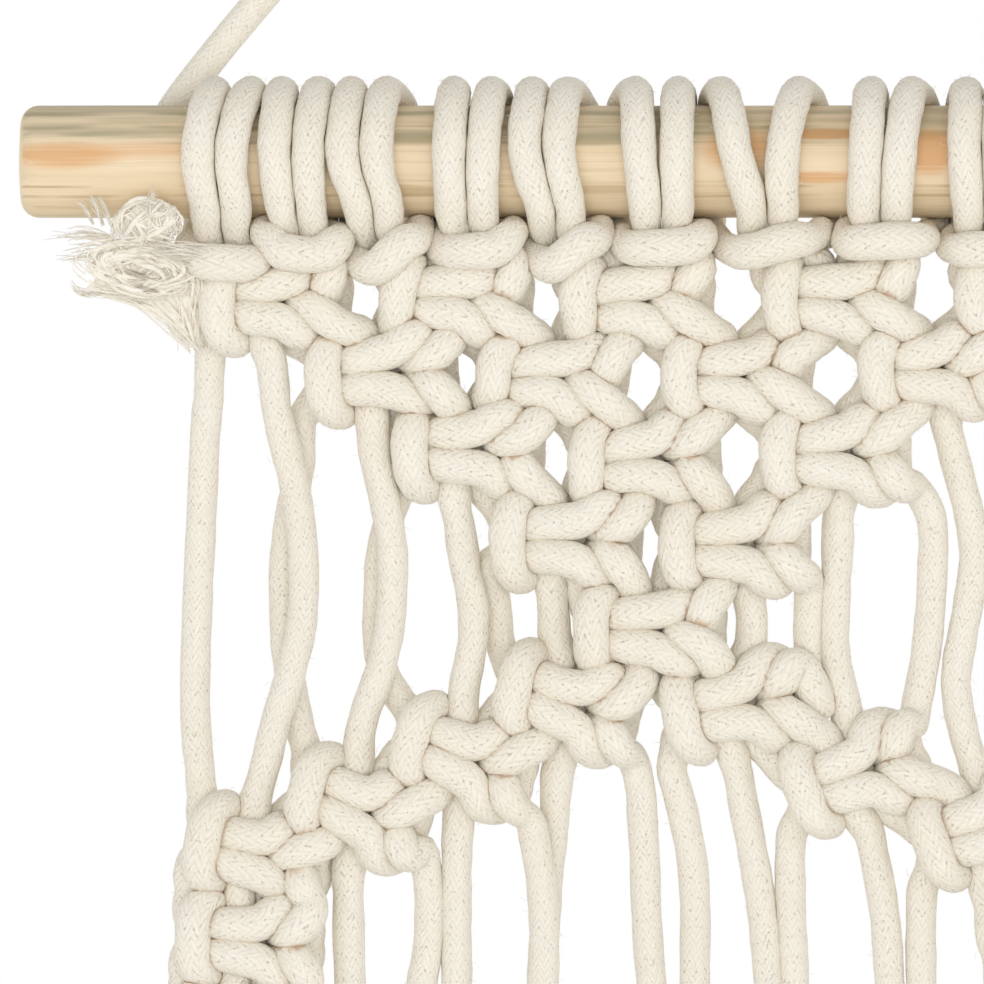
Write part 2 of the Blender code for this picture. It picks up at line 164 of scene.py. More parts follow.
# One material being wired: nodes come from addNode, and mix() blends two colours by a share.
class Finish:
    def __init__(self, name):
        self.material = bpy.data.materials.new(name)
        self.material.use_nodes = True
        self.tree = self.material.node_tree
        self.shader = self.tree.nodes["Principled BSDF"]

    def node(self, kind, settings=None, sockets=None, output=0):
        return addNode(self.tree, kind, settings, sockets)[output]

    def split(self, vector):
        return addNode(self.tree, "ShaderNodeSeparateXYZ", None, {0: vector})

    def join(self, x, y, z):
        return self.node("ShaderNodeCombineXYZ", None, {0: x, 1: y, 2: z})

    def mix(self, share, first, second):
        first, second = (colour if isinstance(colour, Wire) else (*colour, 1.0)
                         for colour in (first, second))
        return self.node("ShaderNodeMix", {"data_type": "RGBA"}, {0: share, 6: first, 7: second},
                         output=2)

    def noise(self, vector, scale, detail=2.0, roughness=0.5):
        return self.node("ShaderNodeTexNoise", None, {"Vector": vector, "Scale": scale,
                                                      "Detail": detail, "Roughness": roughness})

    def bump(self, height, strength, distance):
        return self.node("ShaderNodeBump", None,
                         {"Height": height, "Strength": strength, "Distance": distance})

    # a point's place in the part's own metres
    def place(self):
        return self.node("ShaderNodeTexCoord", output=3)

    def drive(self, name, wire):
        self.tree.links.new(wire.socket, self.shader.inputs[name])

    def set(self, name, value):
        self.shader.inputs[name].default_value = value


braid = dict(
    columns=8,                       # plaited ribs round the cord
    yarn=1.42,                       # length of one yarn's step along the cord, mm
    slant=1.35,                      # how far a yarn climbs across half a rib, in steps
    light=(0.94, 0.89, 0.785),
    warm=(0.925, 0.862, 0.74),
    # the next colour is a painted highlight on the yarns' crowns
    yarnHighlight=(0.985, 0.955, 0.885),
    shade=(0.70, 0.61, 0.475),
    # the next two are the painted shade of the small gaps between yarns, and how much of it
    poreShade=(0.54, 0.47, 0.37),
    poreShadeShare=0.82,
    creaseShade=(0.66, 0.50, 0.355),      # painted shade where another cord presses on it
    creaseShadeShare=0.85,
    bump=(0.55, 0.00028),            # how strong, and how deep in metres
)


# Braided cord: yarns climb each rib as a chevron; a yarn stands up as half a sine and has its own
# tone, with a painted highlight on its crown and painted shade in the groove between it and the
# next.
# Dark specks are scattered between the yarns as painted shade of the small gaps there, and painted
# shade darkens the skin where another cord presses on it. Uses the cord's own map: u round it, v
# along it in cm.
def cordMaterial(name, contrast=1.0):
    f = Finish(name)
    u, v, _ = f.split(f.node("ShaderNodeUVMap", {"uv_map": "cordMap"}))
    place = f.place()
    wobble = f.noise(f.join(u * 4.0, v * 2.0, 0.0), 1.3, 1.0)
    jitter = f.noise(place, 1400.0, 1.0)
    ribs = u * float(braid["columns"]) + (f.noise(place, 70.0, 1.0) - 0.5) * 0.22
    rib = ribs.fract()
    chevron = (rib - 0.5).absolute() * 2.0
    phase = v * (10.0 / braid["yarn"]) + chevron * braid["slant"] + wobble * 1.1 + jitter * 0.45
    yarn = (phase.fract() * math.pi).sine()
    own = f.node("ShaderNodeTexWhiteNoise", {"noise_dimensions": "2D"},
                 {"Vector": f.join(phase.floor(), (ribs * 2.0).floor(), 0.0)})
    edge = 1.0 - (chevron - 0.5).absolute() * 2.0
    fibre = f.noise(f.join(u * 60.0 + phase * 3.0, v * 18.0 - chevron * 16.0, 0.0), 1.0, 3.0, 0.65)
    fluff = f.noise(place, 3000.0, 2.0, 0.7)
    height = ((yarn ** 0.6) * (0.6 + edge.ramp(0.0, 0.5) * 0.4)
              + own * 0.25 + fibre * 0.8 + fluff * 0.7)
    # Painted shade of the small gaps between yarns: dark specks, most where the yarns meet at the
    # ribs' edges.
    specks = (1.0 - yarn.ramp(0.0, 0.75) * 0.75) * f.noise(place, 1900.0, 1.0).ramp(0.59, 0.70)
    corners = ((1.0 - yarn.ramp(0.1, 0.7)) * (1.0 - edge.ramp(0.0, 0.5))
               * f.noise(place, 1500.0, 1.0).ramp(0.50, 0.64))
    poreShades = (specks + corners * 0.5).lesser(1.0)
    body = f.mix(f.noise(place, 45.0, 3.0).ramp(0.35, 0.7), braid["light"], braid["warm"])
    streaks = ((1.0 - fibre.ramp(0.28, 0.6)) * 0.18 + (1.0 - fluff.ramp(0.25, 0.55)) * 0.14
               + own * 0.10)
    # Painted shade in the groove between yarns, mixed in below with the streaks.
    grooveShade = (1.0 - yarn.ramp(0.0, 0.9)) * 0.07
    # Painted highlight: each yarn's crown is lightened, more on some yarns than others.
    body = f.mix(yarn.ramp(0.3, 1.0) * (0.15 + own * 0.4), body, braid["yarnHighlight"])
    body = f.mix(((streaks + grooveShade) * contrast).lesser(0.6), body, braid["shade"])
    body = f.mix(poreShades * braid["poreShadeShare"] * contrast, body, braid["poreShade"])
    # Painted shade of creases: the skin darkens where another cord presses on it.
    pressed = f.node("ShaderNodeAttribute", {"attribute_name": "press"})
    body = f.mix(pressed.ramp(0.0, 0.4) * braid["creaseShadeShare"], body, braid["creaseShade"])
    f.drive("Base Color", body)
    f.drive("Normal", f.bump(height, *braid["bump"]))
    f.set("Roughness", 0.95)
    f.set("Specular IOR Level", 0.12)
    return f.material


loose = dict(
    light=(0.82, 0.775, 0.69),
    shade=(0.75, 0.70, 0.605),
    # shaded slits: middle across and up, half length and half height, mm
    eyes=[(-157.6, -18.3, 2.4, 0.55), (-156.0, -20.6, 2.0, 0.4)],
    eyeColor=(0.44, 0.385, 0.31),
    glow=0.11,
)


# Loose cotton fibre: pale, with faint streaks of shade, two shaded slits, and a trace of glow,
# painted light that stands in for the light that comes through such thin fibre.
def fibreMaterial(name):
    f = Finish(name)
    x, y, z = f.split(f.place())
    across = x.absolute() * (-1 / mm)
    up = (z + hanging["dowelDrop"] * mm) * (1 / mm)
    tone = f.noise(f.join(x * 0.5, y, z), 900.0, 3.0, 0.6)
    body = f.mix(tone.ramp(0.35, 0.7), loose["light"], loose["shade"])
    for middle, height, long, tall in loose["eyes"]:
        reach = (((across - middle) / long) ** 2.0
                 + ((up - height + (across - middle) * 0.25) / tall) ** 2.0)
        body = f.mix((1.0 - reach.ramp(0.3, 1.6)) * 0.8, body, loose["eyeColor"])
    f.drive("Base Color", body)
    f.drive("Normal", f.bump(tone, 0.5, 0.0005))
    f.set("Roughness", 0.9)
    f.set("Specular IOR Level", 0.15)
    # Painted light: the fibre glows faintly in its own colour.
    f.drive("Emission Color", body)
    f.set("Emission Strength", loose["glow"])
    return f.material


pine = dict(
    pale=(0.83, 0.675, 0.465),
    body=(0.76, 0.605, 0.395),
    orange=(0.70, 0.395, 0.18),
    rust=(0.55, 0.30, 0.13),
    brown=(0.50, 0.36, 0.195),
    olive=(0.385, 0.34, 0.215),
    # patches: colour, middle across and up, half length and half height, mm, and how strong
    patches=[("olive", -165.0, 8.6, 40.0, 1.5, 0.5), ("olive", -171.0, 5.0, 16.0, 1.3, 0.4),
             ("olive", -158.0, 4.3, 13.0, 1.0, 0.45), ("olive", -156.0, 6.6, 12.0, 0.7, 0.4),
             ("olive", -100.0, 6.0, 13.0, 3.6, 0.5), ("olive", -72.0, 6.4, 16.0, 3.0, 0.45),
             ("olive", -20.0, 6.8, 30.0, 2.2, 0.4), ("olive", 40.0, 6.2, 35.0, 2.6, 0.45),
             ("olive", 120.0, 6.8, 45.0, 2.2, 0.45), ("olive", -114.0, 3.6, 8.0, 1.5, 0.9),
             ("olive", -84.0, 3.7, 8.0, 1.6, 0.85), ("brown", -114.0, -5.0, 8.0, 1.2, 0.6),
             ("brown", -84.0, -4.6, 8.0, 0.9, 0.6),
             ("orange", -169.5, 0.9, 12.0, 2.7, 1.0), ("orange", -157.0, 1.6, 14.0, 1.8, 0.55),
             ("orange", -61.0, 1.6, 8.0, 4.4, 0.9), ("rust", -48.0, 4.2, 9.0, 1.1, 1.3),
             ("orange", -49.0, -2.8, 9.0, 1.3, 0.95), ("orange", -31.0, 1.2, 5.0, 4.6, 1.3),
             ("rust", -31.0, 3.9, 4.5, 1.0, 0.6), ("orange", 20.0, -1.5, 16.0, 1.6, 0.6),
             ("orange", 70.0, 2.0, 20.0, 2.0, 0.6), ("orange", 130.0, 0.5, 18.0, 1.5, 0.5)],
    # dark lines of late wood: height and half width, mm, and how strong
    lines=[(7.6, 0.35, 0.8), (5.3, 0.30, 0.9), (4.3, 0.28, 0.75), (2.8, 0.22, 0.5),
           (-4.1, 0.2, 0.75), (-5.6, 0.22, 0.65), (-8.2, 0.4, 0.4)],
)


# Pine: long grain, as noise stretched forty times along the dowel, with dark lines of late wood
# that wander slowly and come and go, olive grey towards the top, painted shade on the underside,
# and coloured streaks as soft ovals.
def pineMaterial(name):
    f = Finish(name)
    x, y, z = f.split(f.place())
    height = (z + hanging["dowelDrop"] * mm) * (1 / mm)
    drift = (f.noise(f.join(x * 7.0, 0.0, 0.0), 1.0, 2.0) - 0.5) * 2.6
    across = height + drift
    grain = f.noise(f.join(x * 14.0, y * 500.0, across * 0.9), 1.0, 3.0, 0.6)
    bands = f.noise(f.join(x * 4.0, y * 120.0, across * 0.28), 1.0, 2.0, 0.5)
    fine = f.noise(f.join(x * 60.0, y * 2400.0, across * 3.4), 1.0, 2.0, 0.6)
    body = f.mix(bands.ramp(0.38, 0.62), pine["pale"], pine["body"])
    body = f.mix(across.ramp(1.8, 4.2) * (0.10 + grain.ramp(0.40, 0.62) * 0.34), body,
                 pine["olive"])
    for up, half, strength in pine["lines"]:
        seen = f.noise(f.join(x * 60.0, 0.0, up), 1.0, 2.0).ramp(0.40, 0.62)
        stray = (f.noise(f.join(x * 40.0, 1.0, up), 1.0, 1.0) - 0.5) * 0.9
        line = 1.0 - ((across + stray - up) / half).absolute().ramp(0.25, 1.7)
        body = f.mix(line * seen * strength, body, pine["brown"] if up < 0 else pine["olive"])
    for colour, middle, up, long, tall, strength in pine["patches"]:
        reach = ((x * (1 / mm) - middle) / long) ** 2.0 + ((across - up) / tall) ** 2.0
        share = ((1.0 - reach.ramp(0.0, 1.0)) * grain.ramp(0.1, 0.55) * strength).lesser(0.9)
        body = f.mix(share, body, pine[colour])
    # Painted shade: the dowel's underside turns olive, unevenly by the grain.
    low = 1.0 - height.ramp(-9.6, -7.2)
    body = f.mix(low * (0.12 + grain.ramp(0.35, 0.6) * 0.25), body, pine["olive"])
    body = f.mix(grain.ramp(0.52, 0.72) * 0.34, body, pine["brown"])
    body = f.mix(fine.ramp(0.5, 0.75) * 0.18, body, pine["olive"])
    ends = x.absolute().ramp(0.1757, 0.1764)
    rings = (f.noise(f.join(y * 300.0, height * 0.3, 0.0), 1.0, 2.0) * 9.0).sine().ramp(-0.5, 0.9)
    body = f.mix(ends, body, f.mix(rings, pine["pale"], pine["brown"]))
    f.drive("Base Color", body)
    f.drive("Normal", f.bump(grain * 0.6 + fine * 0.4, 0.12, 0.0002))
    f.set("Roughness", 0.62)
    f.set("Specular IOR Level", 0.3)
    return f.material


# How far along a line each of its points is.
def lengthsAlong(line):
    return np.concatenate([[0.0], np.cumsum(np.linalg.norm(np.diff(line, axis=0), axis=1))])


# A cubic between a line's points, each with its slope, read at the wanted lengths along it.
def cubicAt(points, slopes, along, spans, wanted):
    seat = np.clip(np.searchsorted(along, wanted, side="right") - 1, 0, len(spans) - 1)
    size = spans[seat][:, None]
    t = (wanted - along[seat])[:, None] / size
    return ((2 * t**3 - 3 * t**2 + 1) * points[seat] + (t**3 - 2 * t**2 + t) * size * slopes[seat]
            + (3 * t**2 - 2 * t**3) * points[seat + 1] + (t**3 - t**2) * size * slopes[seat + 1])


# A smooth curve through points, as a cubic whose slopes weigh the two sides by their lengths, read
# at even steps along it.
def smoothCurve(points, step):
    points = np.asarray(points, dtype=float)
    spans = np.linalg.norm(np.diff(points, axis=0), axis=1)
    along = lengthsAlong(points)
    rates = np.diff(points, axis=0) / spans[:, None]
    slopes = np.empty_like(points)
    slopes[0], slopes[-1] = rates[0], rates[-1]
    before, after = spans[:-1, None], spans[1:, None]
    slopes[1:-1] = (rates[:-1] * after + rates[1:] * before) / (before + after)
    dense = np.linspace(0.0, along[-1], max(2, int(round(along[-1] / step * 4))))
    return evenSteps(cubicAt(points, slopes, along, spans, dense), step)


# The same line read at even steps, by its length.
def evenSteps(line, step):
    along = lengthsAlong(line)
    wanted = np.linspace(0.0, along[-1], max(2, int(round(along[-1] / step)) + 1))
    return np.stack([np.interp(wanted, along, line[:, axis]) for axis in range(3)], axis=1)


# Square knots of the left half, mm: the first of the knot's four strands, its middle across and up,
# its turn in degrees, and its size. The right half mirrors their places, tied the same way round.
knotColumns = ("first", "x", "z", "turn", "size")
leftKnots = [
    (1, -135.3, -22.4, 0, 0.99), (5, -106.3, -22.3, -2, 1.0), (9, -77.3, -22.5, 1, 1.0),
    (13, -45.3, -22.3, 0, 1.0), (17, -14.6, -22.3, 0, 1.0),
    (3, -118.3, -33.6, 2, 1.0), (7, -91.0, -34.6, -3, 1.0), (11, -61.5, -34.4, 0, 1.0),
    (15, -30.0, -33.1, 1, 1.0),
    (5, -104.4, -45.9, -2, 1.0), (9, -76.2, -47.6, 2, 1.0), (13, -45.7, -46.5, 0, 1.0),
    (7, -88.8, -60.6, -2, 1.0), (11, -61.8, -61.3, 2, 1.0), (9, -75.4, -74.9, 0, 1.0),
    (7, -88.6, -86.9, -14, 0.93), (11, -61.7, -86.8, 10, 0.94),
    (5, -105.3, -95.6, -18, 0.91), (13, -42.6, -97.9, 20, 0.91),
    (3, -122.2, -103.8, -18, 0.91), (15, -21.9, -106.4, 18, 0.92),
    (1, -138.3, -111.0, -12, 0.91), (1, -139.6, -124.8, -3, 0.92), (1, -140.4, -138.4, 0, 0.92),
    (17, -8.0, -118.6, 8, 0.94),
]
middleKnots = [(19, 0.0, -133.4, 0, 1.0), (19, 0.2, -146.8, 0, 1.0)]

# The four strands' routes in a knot, in cord diameters from its middle: across, up, forward. The
# left strand crosses the front twice round the right side; the right strand goes behind, comes up
# at the left as the upright loop, and goes back behind.
knotRoutes = [
    [(-1.85, 0.80, 0.00), (-1.15, 0.58, 0.62), (-0.30, 0.55, 1.12), (0.50, 0.60, 1.15),
     (1.10, 0.70, 0.85), (1.56, 0.68, 0.10), (1.78, 0.38, -0.45), (1.80, 0.00, -0.60),
     (1.78, -0.38, -0.45), (1.56, -0.68, 0.10), (1.10, -0.70, 0.85), (0.50, -0.62, 1.15),
     (-0.30, -0.57, 1.12), (-1.15, -0.58, 0.62), (-1.85, -0.80, 0.00)],
    [(-0.60, 1.00, 0.10), (-0.56, 0.00, 0.05), (-0.60, -1.00, 0.10)],
    [(0.30, 1.00, -0.15), (0.32, 0.00, -0.20), (0.30, -1.00, -0.15)],
    [(2.10, 1.20, 0.70), (1.80, 0.88, 1.15), (1.46, 0.54, 1.22), (1.16, 0.36, 0.80),
     (1.02, 0.34, 0.05), (0.62, 0.36, -0.80), (0.00, 0.44, -1.12), (-0.60, 0.56, -1.00),
     (-1.12, 0.70, -0.45), (-1.46, 0.82, 0.25), (-1.82, 0.66, 1.05), (-1.98, 0.28, 1.32),
     (-1.98, -0.22, 1.32), (-1.82, -0.56, 1.05), (-1.46, -0.72, 0.25), (-1.12, -0.60, -0.45),
     (-0.60, -0.50, -1.00), (0.00, -0.40, -1.12), (0.62, -0.34, -0.80), (1.02, -0.34, 0.05),
     (1.16, -0.36, 0.80), (1.46, -0.54, 1.22), (1.80, -0.88, 1.15), (2.10, -1.20, 0.70)],
]

# Free runs between two knots of the left half, mm.
leftRuns = {
    1: [(-146.4, -38.6, 1), (-147.5, -57.0, 0), (-148.3, -75.4, 0), (-148.5, -88.0, 0),
        (-148.0, -95.0, 0)],
    2: [(-136.6, -30.4, 3), (-135.4, -39.8, 3.2), (-132.4, -52.8, 2.8), (-131.2, -61.6, 2.6),
        (-131.6, -75.4, 2.6), (-133.6, -83.5, 2.6), (-135.7, -90.1, 2.4), (-137.1, -96.3, 2.0)],
    3: [(-130.1, -39.0, -1), (-131.9, -49.4, -2.4), (-134.2, -63.8, -2.7), (-134.2, -73.4, -2.7),
        (-132.8, -86.2, -2.6), (-131.2, -92.6, -1.6)],
    4: [(-120.5, -38.6, 2.6), (-119.7, -46.7, 2.9), (-118.0, -54.9, 2.7), (-116.9, -62.2, 2.6),
        (-116.9, -68.6, 2.6), (-117.7, -76.6, 2.6), (-119.3, -83.0, 2.4), (-121.2, -88.0, 2.0)],
    5: [(-115.4, -51.8, -0.5), (-117.0, -55.8, -2.0), (-118.6, -62.2, -2.7), (-119.2, -70.2, -2.7),
        (-117.9, -83.0, -2.4), (-115.7, -86.2, -1.4)],
    6: [(-107.4, -52.8, 2.0), (-106.4, -57.0, 2.4), (-105.2, -65.2, 2.4), (-104.0, -71.2, 2.4),
        (-104.1, -77.3, 2.4), (-105.3, -83.5, 2.0)],
    7: [(-101.8, -64.0, 0), (-100.4, -70.2, -2.4), (-99.7, -76.6, -2.4), (-98.9, -79.8, -1.6)],
    8: [(-91.4, -68.0, 0), (-91.1, -71.2, 0), (-90.8, -80.0, 0)],
    13: [(-59.8, -68.8, 0), (-59.7, -79.0, 0)],
    14: [(-52.6, -65.4, 1), (-50.4, -67.6, 0), (-50.1, -73.0, 0), (-50.2, -79.0, 0),
         (-49.2, -84.0, 0), (-47.4, -88.6, 0)],
    15: [(-45.3, -54.6, 0), (-45.6, -62.7, 0), (-46.2, -73.0, 0), (-46.2, -77.0, 0),
         (-45.6, -83.2, 0), (-44.4, -88.4, 0)],
    16: [(-34.9, -51.0, 0.5), (-31.7, -54.2, 0), (-30.7, -56.6, 0), (-30.4, -64.8, 0),
         (-30.7, -70.9, 0), (-31.5, -79.0, 0), (-32.6, -85.1, 0), (-34.2, -91.4, 0.4)],
    17: [(-28.4, -40.4, 0), (-26.6, -48.5, 0), (-24.5, -56.6, 0), (-23.7, -62.7, 0),
         (-24.3, -68.8, 0), (-25.8, -77.0, 0), (-26.7, -83.2, 0), (-25.9, -89.3, 0),
         (-24.4, -95.0, 0), (-22.6, -99.6, 0)],
    18: [(-19.6, -40.0, 0.5), (-18.2, -50.2, 0), (-17.0, -66.4, 0), (-16.4, -82.6, 0),
         (-15.2, -95.0, 0)],
    19: [(-12.0, -33.0, 0), (-11.7, -45.0, 0), (-11.0, -66.6, 0), (-10.7, -90.0, 0),
         (-9.8, -106.0, 0)],
    20: [(-5.0, -31.0, 0), (-4.4, -45.0, 0), (-3.9, -66.6, 0), (-3.8, -90.0, 0), (-3.8, -106.0, 0)],
}

# Fringe of the left half, mm: points under each strand's last knot, then its place at the hem.
leftFringe = {
    1: [(-148.4, -147.0, 0), (-148.8, -160.0, 0)],
    2: [(-142.2, -147.0, 0), (-142.4, -160.0, 0)],
    3: [(-137.0, -147.0, 0), (-136.9, -160.0, 0)],
    4: [(-131.2, -146.0, 0), (-130.8, -160.0, 0)],
    5: [(-123.8, -111.0, 0), (-124.0, -116.6, 0), (-123.7, -131.7, 0)],
    6: [(-112.5, -109.0, 0.5), (-111.4, -113.8, 0), (-111.1, -124.8, 0), (-112.2, -131.7, 0)],
    7: [(-106.2, -104.0, 0), (-106.6, -112.6, 0), (-106.6, -131.7, 0)],
    8: [(-95.5, -104.5, 1.5), (-93.8, -110.6, 2.3), (-92.8, -118.0, 2.4), (-92.7, -131.7, 2.4)],
    9: [(-90.2, -96.0, -1), (-90.9, -104.5, -2.4), (-92.0, -115.0, -2.5), (-92.9, -131.7, -2.5)],
    10: [(-79.0, -94.4, 0.5), (-77.6, -98.2, 0), (-76.8, -106.4, 0), (-76.0, -124.8, 0),
         (-75.4, -131.7, 0)],
    11: [(-72.2, -96.3, 0), (-70.8, -102.4, 0), (-68.6, -114.7, 0), (-68.4, -120.8, 0),
         (-68.5, -131.7, 0)],
    12: [(-62.1, -95.8, 0), (-60.8, -102.4, 0), (-57.9, -118.7, 0), (-56.5, -131.7, 0)],
    13: [(-52.5, -106.2, 0), (-53.2, -110.2, 0), (-53.2, -115.0, 0), (-52.7, -131.7, 0)],
    14: [(-41.3, -105.4, 0), (-39.7, -111.4, 0), (-38.0, -121.4, 0), (-37.3, -131.7, 0)],
    15: [(-31.7, -115.4, 0), (-32.2, -121.1, 0), (-32.2, -131.7, 0)],
    16: [(-21.0, -117.0, 0), (-20.2, -124.0, 0), (-19.8, -131.7, 0)],
    17: [(-15.6, -127.0, 0), (-14.8, -137.0, 0)],
    18: [(-11.2, -128.5, 0), (-10.6, -138.0, 0)],
    19: [(-8.2, -157.0, 0), (-8.2, -167.0, 0)],
    20: [(-2.9, -158.0, 0), (-2.8, -168.0, 0)],
}
leftHem = {1: -149.6, 2: -143.2, 3: -137.0, 4: -130.6, 5: -123.6, 6: -114.2, 7: -106.8, 8: -99.0,
           9: -91.6, 10: -78.2, 11: -70.0, 12: -61.6, 13: -53.4, 14: -44.4, 15: -34.6, 16: -27.8,
           17: -20.9, 18: -14.7, 19: -8.8, 20: -3.0}

# Lark's heads of the left half, mm. Each wrap's place across: down the dowel's back, at its top,
# its front, and where it goes behind the bar. The bar's middle, half length, drop and rise.
headColumns = ("backA", "topA", "frontA", "lowA", "backB", "topB", "frontB", "lowB",
               "bar", "half", "drop", "rise")
leftHeads = [
    (-148.0, -145.2, -148.3, -146.4, -137.6, -139.5, -143.1, -142.0, -143.4, 5.0, 16.6, 0.0),
    (-136.0, -134.6, -135.9, -134.4, -126.6, -128.6, -130.6, -130.2, -131.4, 4.8, 15.1, -0.3),
    (-124.6, -123.4, -125.4, -121.6, -112.6, -117.9, -119.8, -118.0, -117.0, 4.5, 15.2, 2.4),
    (-108.4, -106.9, -108.0, -107.4, -98.6, -100.9, -102.6, -102.6, -103.4, 4.4, 14.6, 0.1),
    (-95.6, -94.3, -96.2, -92.5, -83.4, -88.9, -90.6, -88.9, -88.5, 4.7, 14.9, 2.2),
    (-82.4, -78.0, -77.5, -76.4, -69.6, -71.1, -71.6, -71.3, -73.6, 5.6, 14.0, 0.1),
    (-66.6, -64.4, -62.1, -59.3, -46.4, -51.6, -55.0, -54.6, -56.3, 6.0, 13.7, 1.1),
    (-38.6, -40.2, -41.5, -41.7, -28.6, -33.6, -36.2, -36.5, -38.1, 6.6, 13.0, 0.2),
    (-26.0, -24.9, -25.8, -24.8, -17.4, -19.4, -20.4, -19.8, -21.9, 5.0, 14.2, 0.2),
    (-12.0, -10.6, -10.9, -10.5, -3.6, -5.3, -5.6, -5.4, -8.0, 4.6, 13.8, 0.0),
]


uneven = dict(
    right=(0.6, 0.4),      # how far the right half's knots stray across and up, mm
    sway=(0.55, 0.5),      # how far the fringe sways across and forward, mm
    hem=1.6,               # how uneven the hem is trimmed, mm
)


# All knots: the left half's, the middle's, and the left half's mirrored, a little off by a sine.
def allKnots():
    rows = [dict(zip(knotColumns, row)) for row in leftKnots + middleKnots]
    for index, row in enumerate(leftKnots):
        knot = dict(zip(knotColumns, row))
        stray = 0.5 * math.sin(2.3 * index)
        across, up = uneven["right"]
        rows.append(dict(knot, first=hanging["strands"] - 2 - knot["first"], turn=-knot["turn"],
                         x=-knot["x"] + across * stray, z=knot["z"] + up * stray))
    return rows


# All lark's heads: the right half's are the left's in reverse, places negated and wraps swapped.
def allHeads():
    left = [dict(zip(headColumns, row)) for row in leftHeads]
    swap = {"backA": "backB", "topA": "topB", "frontA": "frontB", "lowA": "lowB"}
    swap.update({value: key for key, value in swap.items()})
    kept = ("half", "drop")
    right = [{swap.get(key, key): value if key in kept else -value for key, value in head.items()}
             for head in reversed(left)]
    return left + right


# A strand's row in a table of the left half, and the sign that mirrors it to the strand's own side.
def leftRow(table, strand):
    half = hanging["strands"] // 2
    if strand <= half:
        return table.get(strand), 1
    return table.get(hanging["strands"] + 1 - strand), -1


# A knot's strand: its route in diameters, turned about the knot's middle and scaled.
def strandInKnot(knot, port):
    route = np.array(knotRoutes[port]) * hanging["cord"] * knot["size"]
    angle = math.radians(knot["turn"])
    x = knot["x"] + route[:, 0] * math.cos(angle) - route[:, 1] * math.sin(angle)
    z = knot["z"] + route[:, 0] * math.sin(angle) + route[:, 1] * math.cos(angle)
    return np.stack([x, z, route[:, 2] + hanging["netForward"]], axis=1).tolist()


# One strand from its lark's head down to the hem: its knots in turn, a free run where two of them
# are far apart, and a fringe on a straight line to the hem plus a small random sway.
def strandRoute(strand, knots):
    own = [knot for knot in knots if knot["first"] <= strand < knot["first"] + 4]
    lift = hanging["netForward"]
    farApart = 16
    route = []
    for index, knot in enumerate(own):
        route += strandInKnot(knot, strand - knot["first"])
        after = own[index + 1] if index + 1 < len(own) else None
        if after is not None and knot["z"] - after["z"] > farApart:
            run, sign = leftRow(leftRuns, strand)
            route += [(sign * x, z, forward + lift) for x, z, forward in run]
    fringe, sign = leftRow(leftFringe, strand)
    hem, _ = leftRow(leftHem, strand)
    route += [(sign * x, z, forward + lift) for x, z, forward in fringe]
    last = route[-1]
    end = -hanging["hemDrop"] + uneven["hem"] * math.sin(2.1 * strand)
    steps = 6
    drifts = rng.normal(0.0, 1.0, (steps - 1, 2))
    for step in range(1, steps + 1):
        share = step / steps
        sway = drifts[step - 1] * uneven["sway"] if step < steps else (0.0, 0.0)
        route.append((last[0] + (sign * hem - last[0]) * share + sway[0],
                      last[1] + (end - last[1]) * share,
                      last[2] + (lift - last[2]) * min(1.0, share * 1.5) * 0.4 + sway[1]))
    return route


headShape = dict(
    seat=11.25,            # a wrap's line from the dowel's axis, mm
    # the arc's points round the dowel, from its front
    degrees=(-38, -15, 10, 35, 62, 90, 118, 145, 172, 200, 228, 256),
    legUp=-12.6, legForward=4.6,       # where a wrap leaves the dowel behind the bar
    under=-12.6, underForward=4.6,     # where the cord comes forward under the dowel
    sideForward=8.6, barForward=10.6,  # the bar's end and its front
)


# Half of a lark's head: from behind the bar up the dowel's front, over it, down its back and
# forward under it to the bar's end. On the dowel it is an arc, whose place across is read between
# the front, the top and the back.
def headHalf(head, side):
    name = "A" if side < 0 else "B"
    end = head["bar"] + side * head["half"]
    low, back = head["low" + name], head["back" + name]
    route = [(low, headShape["legUp"], headShape["legForward"])]
    for degrees in headShape["degrees"]:
        angle = math.radians(degrees)
        x = np.interp(degrees, (headShape["degrees"][0], 0, 90, 180),
                      (low, head["front" + name], head["top" + name], back))
        route.append((x, headShape["seat"] * math.sin(angle), headShape["seat"] * math.cos(angle)))
    level = -head["drop"] + side * head["rise"]
    route.append((0.3 * back + 0.7 * end + side * 0.3, 0.5 * (level + headShape["under"]),
                  headShape["underForward"]))
    route.append((end - side * 0.6, level, headShape["sideForward"]))
    route.append((end - side * 2.4, level, headShape["barForward"]))
    return route


# The whole line of each of the twenty cords, from one fringe end to the other.
def allCords():
    knots = sorted(allKnots(), key=lambda knot: -knot["z"])
    cords = []
    for index, head in enumerate(allHeads()):
        first = strandRoute(2 * index + 1, knots)
        second = strandRoute(2 * index + 2, knots)
        middle = headHalf(head, -1) + headHalf(head, 1)[::-1]
        cords.append(np.array(first[::-1] + middle + second))
    return cords


settle = dict(
    step=1.2,              # spacing of the points that settle, mm
    contact=4.2,           # two cords press each other to this distance, mm
    look=(1.0, 6),         # neighbours are sought so much further off, mm, and every so many turns
    depth=-172.0,          # below this the fringe hangs free
    runs=-30.0,            # below this a cord between two knots is a free run
    turns=90,
    push=0.30,
    furthest=0.6,          # the most that a point is pushed in one turn, mm
    smooth=0.16,
    hold=(0.035, 0.035, 0.012),
    freeHold=(0.16, 0.10, 0.03),
    dowelReach=11.0,       # a cord's line stays this far from the dowel's axis
)


# All lines' points in one array, and the number of the line that each belongs to.
def joinLines(lines):
    owner = np.concatenate([np.full(len(line), index) for index, line in enumerate(lines)])
    return owner, np.concatenate(lines)


